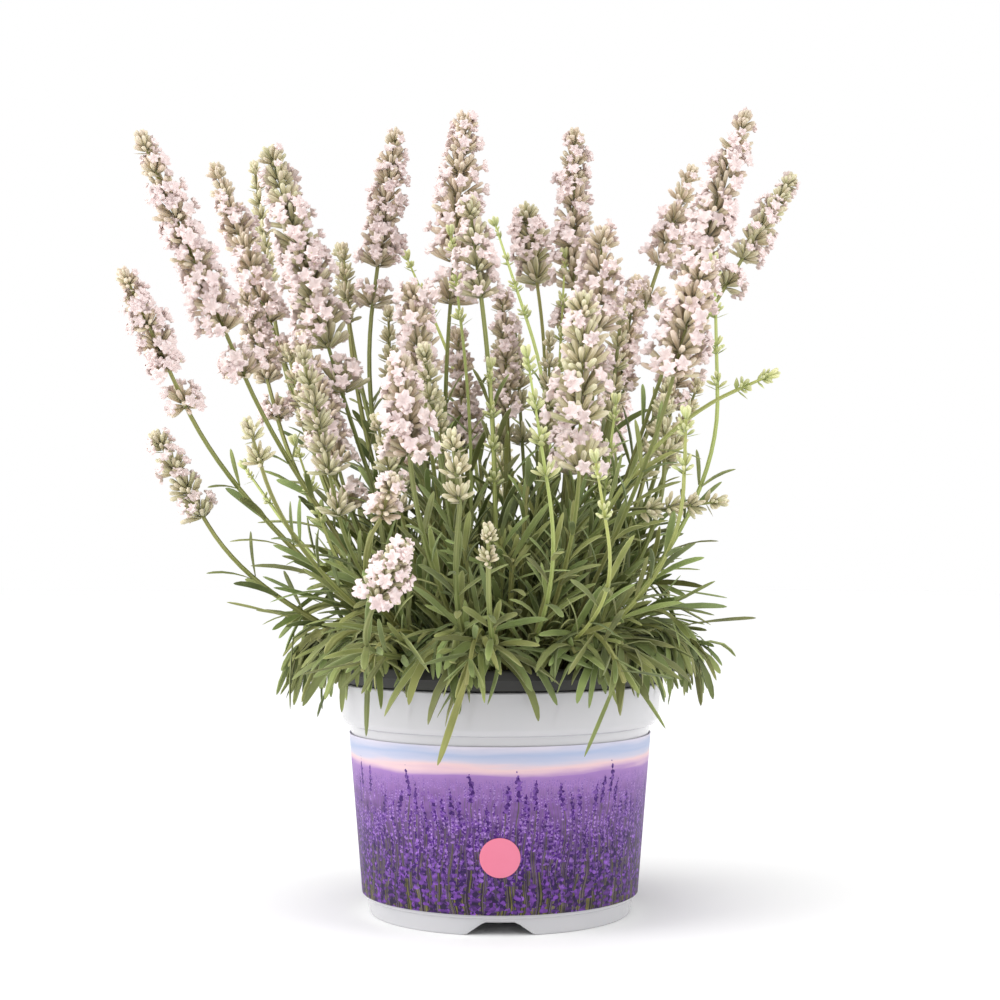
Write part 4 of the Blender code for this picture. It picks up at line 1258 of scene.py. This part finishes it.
def new_group(name, inputs, outputs):
    """An empty shader group with named sockets, each (label, kind) with a first value for an input."""
    tree = bpy.data.node_groups.new(name, "ShaderNodeTree")
    for label, kind, value in inputs:
        socket = tree.interface.new_socket(label, in_out="INPUT", socket_type=SOCKETS[kind])
        if value is not None:
            socket.default_value = value
    for label, kind in outputs:
        tree.interface.new_socket(label, in_out="OUTPUT", socket_type=SOCKETS[kind])
    return tree, tree.nodes.new("NodeGroupInput").outputs, tree.nodes.new("NodeGroupOutput").inputs


def mottle_group():
    """Soft patches of the surface, from 0 to 1, and a fine grain for relief."""
    tree, given, out = new_group("mottle", [("Scale", "value", 60.0), ("Fine Scale", "value", 900.0)],
                                 [("Patches", "value"), ("Grain", "value")])
    place = add(tree, "ShaderNodeTexCoord").outputs["Object"]
    patches = add(tree, "ShaderNodeTexNoise", {"Vector": place, "Scale": given["Scale"], "Detail": 4.0})
    fine = add(tree, "ShaderNodeTexNoise", {"Vector": place, "Scale": given["Fine Scale"], "Detail": 2.0})
    tree.links.new(spread(tree, patches.outputs["Fac"], 0.32, 0.68), out["Patches"])
    tree.links.new(fine.outputs["Fac"], out["Grain"])
    return tree


def mottled(tree, scale=60.0, fine_scale=900.0):
    """The mottle's soft patches and its grain, at these scales."""
    node = add(tree, "ShaderNodeGroup", {"Scale": scale, "Fine Scale": fine_scale}, node_tree=MOTTLE)
    return node.outputs["Patches"], node.outputs["Grain"]


def grown_group():
    """The colour of something that grew: from base to tip, each copy lighter or darker than the next."""
    tree, given, out = new_group(
        "grown_colour",
        [("Base", "colour", WHITE), ("Middle", "colour", WHITE), ("Tip", "colour", WHITE),
         ("Rib", "colour", WHITE), ("Ribbing", "value", 0.3),
         ("Darkest", "value", 0.7), ("Lightest", "value", 1.2), ("Yellowing", "value", 0.02)],
        [("Colour", "colour"), ("Along", "value")])
    along = add(tree, "ShaderNodeAttribute", attribute_name="along").outputs["Fac"]
    tint = add(tree, "ShaderNodeAttribute", attribute_name="tint").outputs["Fac"]
    edge = add(tree, "ShaderNodeAttribute", attribute_name="edge").outputs["Fac"]
    first = blend_colour(tree, spread(tree, along, 0.0, 0.5), given["Base"], given["Middle"])
    colour = blend_colour(tree, spread(tree, along, 0.5, 1.0), first, given["Tip"])
    ribs = calc(tree, "MULTIPLY", spread(tree, edge, 0.84, 1.0), given["Ribbing"])
    colour = blend_colour(tree, ribs, colour, given["Rib"])
    patches, _ = mottled(tree, 130.0)
    level = calc(tree, "ADD", calc(tree, "MULTIPLY", tint, 0.75), calc(tree, "MULTIPLY", patches, 0.25))
    value = add(tree, "ShaderNodeMapRange", {"Value": level, "To Min": given["Darkest"],
                                             "To Max": given["Lightest"]}).outputs[0]
    other = calc(tree, "FRACT", calc(tree, "MULTIPLY", tint, 7.31))
    turn = calc(tree, "MULTIPLY", calc(tree, "SUBTRACT", 0.5, other), given["Yellowing"])
    hue = calc(tree, "ADD", turn, 0.5)
    shifted = add(tree, "ShaderNodeHueSaturation", {"Hue": hue, "Value": value, "Color": colour})
    tree.links.new(shifted.outputs["Color"], out["Colour"])
    tree.links.new(along, out["Along"])
    return tree


def new_look(name, **settings):
    """A material with plain values on its shader. Returns it, its tree and its shader."""
    made = bpy.data.materials.new(name)
    made.use_nodes = True
    shader = made.node_tree.nodes["Principled BSDF"]
    for label, value in settings.items():
        shader.inputs[label.replace("_", " ")].default_value = value
    return made, made.node_tree, shader


def relief(tree, shader, height, strength, distance):
    bump = add(tree, "ShaderNodeBump", {"Height": height, "Strength": strength, "Distance": distance})
    tree.links.new(bump.outputs["Normal"], shader.inputs["Normal"])


def grown_look(name, base, middle, tip, rib, ribbing, darkest, lightest, yellowing, bump, **settings):
    """A finish for something that grew, from its colour at its base, middle and tip and on its ribs."""
    made, tree, shader = new_look(name, **settings)
    colour = add(tree, "ShaderNodeGroup", {
        "Base": base, "Middle": middle, "Tip": tip, "Rib": rib, "Ribbing": ribbing,
        "Darkest": darkest, "Lightest": lightest, "Yellowing": yellowing}, node_tree=GROWN)
    tree.links.new(colour.outputs["Colour"], shader.inputs["Base Color"])
    patches, grain = mottled(tree, 260.0, 2400.0)
    relief(tree, shader, grain, bump, 0.0004)
    tree.links.new(spread(tree, patches, 0, 1, 0.55, 0.75), shader.inputs["Roughness"])
    return made


def moulded_look(name, dark, light, rough_low, rough_high, bump, **settings):
    """Moulded plastic: faint patches in its colour and its gloss, and a fine grain."""
    made, tree, shader = new_look(name, **settings)
    patches, grain = mottled(tree, 45.0, 1800.0)
    tree.links.new(blend_colour(tree, patches, dark, light), shader.inputs["Base Color"])
    tree.links.new(spread(tree, patches, 0, 1, rough_low, rough_high), shader.inputs["Roughness"])
    relief(tree, shader, grain, bump, 0.0002)
    return made


def peat_look():
    made, tree, shader = new_look("peat", Roughness=0.95)
    patches, grain = mottled(tree, 420.0, 1500.0)
    colour = ramp(tree, patches, (
        (0.0, rgb(20, 14, 8)), (0.45, rgb(48, 35, 22)), (0.8, rgb(78, 58, 38)), (1.0, rgb(112, 88, 60))))
    tree.links.new(colour, shader.inputs["Base Color"])
    relief(tree, shader, grain, 0.8, 0.0008)
    return made


def flower_row_group():
    """One row of printed flower spikes on short stems. Its mask is 1 where the row covers what is behind."""
    tree, given, out = new_group(
        "flower_row",
        [("Place", "vector", None), ("Columns", "value", 10.0), ("Top", "value", 0.5),
         ("Spread", "value", 0.1), ("Length", "value", 0.2), ("Seed", "value", 0.0),
         ("Dark", "colour", WHITE), ("Light", "colour", WHITE), ("Stalk", "colour", WHITE)],
        [("Colour", "colour"), ("Mask", "value")])
    split = add(tree, "ShaderNodeSeparateXYZ", {0: given["Place"]})
    sway = add(tree, "ShaderNodeTexNoise", {"Vector": given["Place"], "Scale": 3.0, "Detail": 1.0})
    drift = calc(tree, "SUBTRACT", sway.outputs["Fac"], 0.5)
    around = calc(tree, "MULTIPLY_ADD", drift, 0.12, split.outputs["X"])
    column = calc(tree, "ADD", calc(tree, "MULTIPLY", around, given["Columns"]), given["Seed"])
    rank = calc(tree, "ADD", calc(tree, "FLOOR", column), calc(tree, "MULTIPLY", given["Seed"], 13.7))
    chance = add(tree, "ShaderNodeTexWhiteNoise", {"W": rank}, noise_dimensions="1D").outputs["Value"]
    top = calc(tree, "MULTIPLY_ADD", calc(tree, "SUBTRACT", chance, 0.5), given["Spread"], given["Top"])
    drop = calc(tree, "DIVIDE", calc(tree, "SUBTRACT", top, split.outputs["Y"]), given["Length"])
    second_chance = calc(tree, "FRACT", calc(tree, "MULTIPLY", chance, 9.3))
    shift = calc(tree, "MULTIPLY", calc(tree, "SUBTRACT", second_chance, 0.5), 0.35)
    from_middle = calc(tree, "SUBTRACT", calc(tree, "FRACT", column), 0.5)
    local = calc(tree, "ABSOLUTE", calc(tree, "ADD", from_middle, shift))
    florets = add(tree, "ShaderNodeTexVoronoi", {
        "Vector": given["Place"], "Scale": calc(tree, "MULTIPLY", given["Columns"], 3.4)})
    whorl = calc(tree, "SINE", calc(tree, "MULTIPLY", drop, 34.0))
    wide = calc(tree, "MULTIPLY", calc(tree, "MINIMUM", calc(tree, "MULTIPLY", drop, 2.6), 1.0),
                calc(tree, "MULTIPLY_ADD", whorl, 0.09, 0.34))
    rough_edge = calc(tree, "MULTIPLY_ADD", florets.outputs["Distance"], 0.35, local)
    inside = calc(tree, "LESS_THAN", rough_edge, calc(tree, "ADD", wide, 0.08))
    in_spike = calc(tree, "MULTIPLY", calc(tree, "GREATER_THAN", drop, 0.0),
                    calc(tree, "LESS_THAN", drop, 1.0))
    spike = calc(tree, "MULTIPLY", inside, in_spike)
    stalk = calc(tree, "MULTIPLY", calc(tree, "LESS_THAN", local, 0.055),
                 calc(tree, "GREATER_THAN", drop, 0.95))
    chance_of_light = add(tree, "ShaderNodeSeparateColor", {0: florets.outputs["Color"]}).outputs[0]
    light = spread(tree, calc(tree, "MULTIPLY_ADD", whorl, 0.15, chance_of_light), 0.30, 1.0)
    petals = blend_colour(tree, light, given["Dark"], given["Light"])
    tree.links.new(blend_colour(tree, spike, given["Stalk"], petals), out["Colour"])
    tree.links.new(calc(tree, "MAXIMUM", spike, stalk), out["Mask"])
    return tree


# Rows of the printed field from far to near: columns, top, spread and length, and the dark, light and
# stalk colours.
FIELD_ROWS = (
    (60, 0.81, 0.03, 0.06, (132, 104, 160), (160, 134, 184), (120, 102, 140)),
    (44, 0.76, 0.08, 0.10, (112, 82, 144), (164, 138, 188), (98, 84, 106)),
    (18, 0.74, 0.34, 0.20, (62, 36, 96), (126, 96, 160), (86, 78, 76)),
    (34, 0.64, 0.12, 0.14, (88, 56, 126), (166, 138, 190), (86, 78, 74)),
    (26, 0.55, 0.14, 0.18, (72, 42, 108), (154, 124, 182), (80, 76, 56)),
    (20, 0.45, 0.16, 0.22, (58, 32, 92), (142, 110, 174), (88, 88, 48)),
    (15, 0.34, 0.18, 0.24, (48, 28, 76), (130, 96, 166), (98, 96, 52)),
    (12, 0.23, 0.18, 0.22, (42, 24, 66), (122, 86, 158), (104, 100, 56)),
    (10, 0.13, 0.16, 0.20, (38, 24, 56), (114, 78, 148), (108, 102, 58)),
)
PRINT_SATURATION = 1.16


def sleeve_look():
    """A printed view over a field of purple flowers under a pale evening sky."""
    made, tree, shader = new_look("printed_sleeve_paper", Roughness=0.5, Specular_IOR_Level=0.3)
    place = add(tree, "ShaderNodeUVMap", uv_map="wrap").outputs["UV"]
    height = add(tree, "ShaderNodeSeparateXYZ", {0: place}).outputs["Y"]
    streaked = add(tree, "ShaderNodeMapping", {"Vector": place, "Scale": (0.5, 5.0, 1.0)}).outputs[0]
    clouds = add(tree, "ShaderNodeTexNoise", {"Vector": streaked, "Scale": 2.2, "Detail": 4.0})
    waver = calc(tree, "SUBTRACT", clouds.outputs["Fac"], 0.5)
    level = calc(tree, "MULTIPLY_ADD", waver, 0.14, height)
    picture = ramp(tree, level, (
        (0.0, rgb(34, 28, 26)), (0.16, rgb(42, 27, 50)), (0.42, rgb(74, 48, 100)), (0.68, rgb(128, 98, 150)),
        (0.825, rgb(158, 128, 178)), (0.855, rgb(204, 176, 194)), (0.88, rgb(222, 196, 198)),
        (0.905, rgb(192, 192, 208)), (0.945, rgb(172, 182, 206)), (1.0, rgb(206, 202, 214))))
    for number, (columns, top, spread_of, length, dark, light, stalk) in enumerate(FIELD_ROWS):
        row = add(tree, "ShaderNodeGroup", {
            "Place": place, "Columns": columns, "Top": top, "Spread": spread_of, "Length": length,
            "Seed": 0.37 + 1.71 * number, "Dark": rgb(*dark), "Light": rgb(*light),
            "Stalk": rgb(*stalk)}, node_tree=FLOWER_ROW)
        picture = blend_colour(tree, row.outputs["Mask"], picture, row.outputs["Colour"])
    clumps = add(tree, "ShaderNodeTexNoise", {"Vector": place, "Scale": 16.0, "Detail": 3.0}).outputs["Fac"]
    depth = spread(tree, height, 0.85, 0.45)
    uneven = calc(tree, "MULTIPLY", calc(tree, "SUBTRACT", clumps, 0.52), depth)
    shade = calc(tree, "MULTIPLY_ADD", uneven, 2.2, 1.0)
    printed = add(tree, "ShaderNodeHueSaturation", {"Saturation": PRINT_SATURATION, "Value": shade,
                                                    "Color": picture})
    tree.links.new(printed.outputs["Color"], shader.inputs["Base Color"])
    _, grain = mottled(tree)
    relief(tree, shader, grain, 0.08, 0.0002)
    return made


MOTTLE = mottle_group()
GROWN = grown_group()
FLOWER_ROW = flower_row_group()

STEM_LOOK = grown_look("green_stem", rgb(118, 102, 62), rgb(112, 122, 58), rgb(140, 140, 84),
                       rgb(168, 170, 112), 0.45, 0.72, 1.2, 0.03, 0.2)
LEAF_LOOK = grown_look("sage_leaf", rgb(140, 146, 84), rgb(116, 126, 64), rgb(140, 150, 86),
                       rgb(192, 198, 146), 0.55, 0.46, 1.26, 0.05, 0.3, Sheen_Weight=0.1)
YOUNG_STEM_LOOK = grown_look("lime_stem", rgb(134, 140, 74), rgb(154, 164, 88), rgb(180, 188, 108),
                             rgb(200, 204, 146), 0.4, 0.8, 1.2, 0.02, 0.2)
CALYX_LOOKS = {
    "bloom": grown_look("taupe_calyx", rgb(160, 150, 106), rgb(200, 184, 148), rgb(230, 213, 192),
                        rgb(238, 224, 204), 0.5, 0.74, 1.12, 0.035, 0.4, Sheen_Weight=0.3),
    "bud": grown_look("green_calyx", rgb(156, 152, 98), rgb(194, 186, 138), rgb(230, 220, 188),
                      rgb(236, 229, 200), 0.5, 0.72, 1.08, 0.04, 0.4, Sheen_Weight=0.3),
    "young": grown_look("lime_calyx", rgb(150, 162, 84), rgb(190, 196, 124), rgb(222, 222, 168),
                        rgb(234, 234, 194), 0.4, 0.8, 1.10, 0.02, 0.3, Sheen_Weight=0.2),
}
CALYX_LOOKS["leafy"] = LEAF_LOOK
GREENER_EVERY = 3  # blooming spikes: one in so many has greener calyces
PETAL_LOOK = grown_look("pale_petal", rgb(214, 186, 180), rgb(236, 216, 212), rgb(242, 225, 223),
                        rgb(246, 232, 230), 0.3, 0.90, 1.03, 0.012, 0.05, Sheen_Weight=0.2)


def moulded_pieces():
    white_pot(moulded_look("gloss_white_plastic", rgb(190, 190, 193), rgb(194, 193, 196), 0.20,
                           0.23, 0.02, Coat_Weight=0.4))
    printed_sleeve(sleeve_look())
    round_sticker(moulded_look("sticker_paper", rgb(216, 112, 138), rgb(222, 122, 148), 0.38, 0.48, 0.05))
    grow_pot(moulded_look("black_pot_plastic", rgb(24, 24, 22), rgb(44, 43, 38), 0.42, 0.62, 0.15))
    potting_mix(peat_look())
    woody_crown(grown_look("bark", rgb(70, 54, 40), rgb(96, 78, 58), rgb(120, 112, 74),
                           rgb(134, 116, 88), 0.5, 0.6, 1.3, 0.03, 0.9))


def plant():
    """Every stem and shoot of the plan, then the shoots and spikes that fill in between and round them."""
    for number, limb in enumerate(plan()):
        kind = limb["kind"]
        stem = YOUNG_STEM_LOOK if kind == "young" else STEM_LOOK
        calyx = CALYX_LOOKS["bud" if kind == "bloom" and number % GREENER_EVERY == 1 else kind]
        plant_piece(limb, number, (stem, LEAF_LOOK, calyx, PETAL_LOOK))
    for third in range(3):
        bm = bmesh.new()
        for number in range(third, INNER_SHOOTS, 3):
            inner_shoot(bm, number)
        finish(bm, f"inner_shoots_{third + 1}", (STEM_LOOK, LEAF_LOOK), None, "sage_leaf")
    for kind in ("bloom", "bud", "young"):
        stem = YOUNG_STEM_LOOK if kind == "young" else STEM_LOOK
        rows = [(number, row) for number, row in enumerate(FILLER_SPIKES) if row[0] == kind]
        for half in range(2):
            bm = bmesh.new()
            for number, row in rows[half::2]:
                filler_spike(bm, number, *row)
            looks = (stem, LEAF_LOOK, CALYX_LOOKS[kind], PETAL_LOOK)
            finish(bm, f"filler_{kind}_spikes_{half + 1}", looks, None, SLOTS[kind])
    for half in range(2):
        bm = bmesh.new()
        for number in range(half, SKIRT_SHOOTS, 2):
            skirt_shoot(bm, number)
        finish(bm, f"skirt_shoots_{half + 1}", (STEM_LOOK, LEAF_LOOK), None, "sage_leaf")


# Floor, light and camera

CAMERA_PLACE = (0.0, -0.75, 0.148)
CAMERA_PITCH = math.radians(1.27)
CAMERA_LENS = 66.7
FLOOR_RADIUS = 5.0
ROOM_LIGHT = 0.56
SKY_POWER = 1.9
SKY_ANGLE = math.radians(70)
SKY_TURN = (math.radians(18), math.radians(-12), 0)
LIT_POINT = (0, 0, 0.14)  # where the soft lights point
# Soft lights: where, how wide, how strong.
LIGHTS = (
    ("left_light", (-1.15, -0.40, 0.55), 0.9, 9.5),
    ("right_light", (1.15, -0.40, 0.55), 0.9, 6.5),
)


def bright_room():
    """White behind the plant, and softer than that where it lights it."""
    world = bpy.data.worlds.new("bright_room")
    world.use_nodes = True
    tree = world.node_tree
    back = tree.nodes["Background"]
    seen = add(tree, "ShaderNodeLightPath").outputs["Is Camera Ray"]
    tree.links.new(spread(tree, seen, 0, 1, ROOM_LIGHT, 1.0), back.inputs["Strength"])
    back.inputs["Color"].default_value = WHITE
    return world


def studio():
    bm = bmesh.new()
    bmesh.ops.create_circle(bm, cap_ends=True, segments=96, radius=FLOOR_RADIUS)
    floor = new_object("floor", new_mesh("floor", bm))
    look, _, shader = new_look("pale_floor", Roughness=0.8)
    shader.inputs["Base Color"].default_value = rgb(246, 246, 246)
    floor.data.materials.append(look)
    for name, place, size, power in LIGHTS:
        data = bpy.data.lights.new(name, "AREA")
        data.shape, data.size, data.energy = "DISK", size, power
        light = new_object(name, data)
        light.location = place
        light.rotation_euler = (Vector(LIT_POINT) - Vector(place)).to_track_quat("-Z", "Y").to_euler()
    data = bpy.data.lights.new("sky_light", "SUN")
    data.energy, data.angle = SKY_POWER, SKY_ANGLE
    new_object("sky_light", data).rotation_euler = SKY_TURN
    bpy.context.scene.world = bright_room()
    data = bpy.data.cameras.new("camera")
    data.lens = CAMERA_LENS
    camera = new_object("camera", data)
    camera.location = CAMERA_PLACE
    camera.rotation_euler = (math.pi / 2 + CAMERA_PITCH, 0, 0)
    bpy.context.scene.camera = camera
    bpy.context.scene.view_settings.view_transform = "Standard"


moulded_pieces()
plant()
studio()
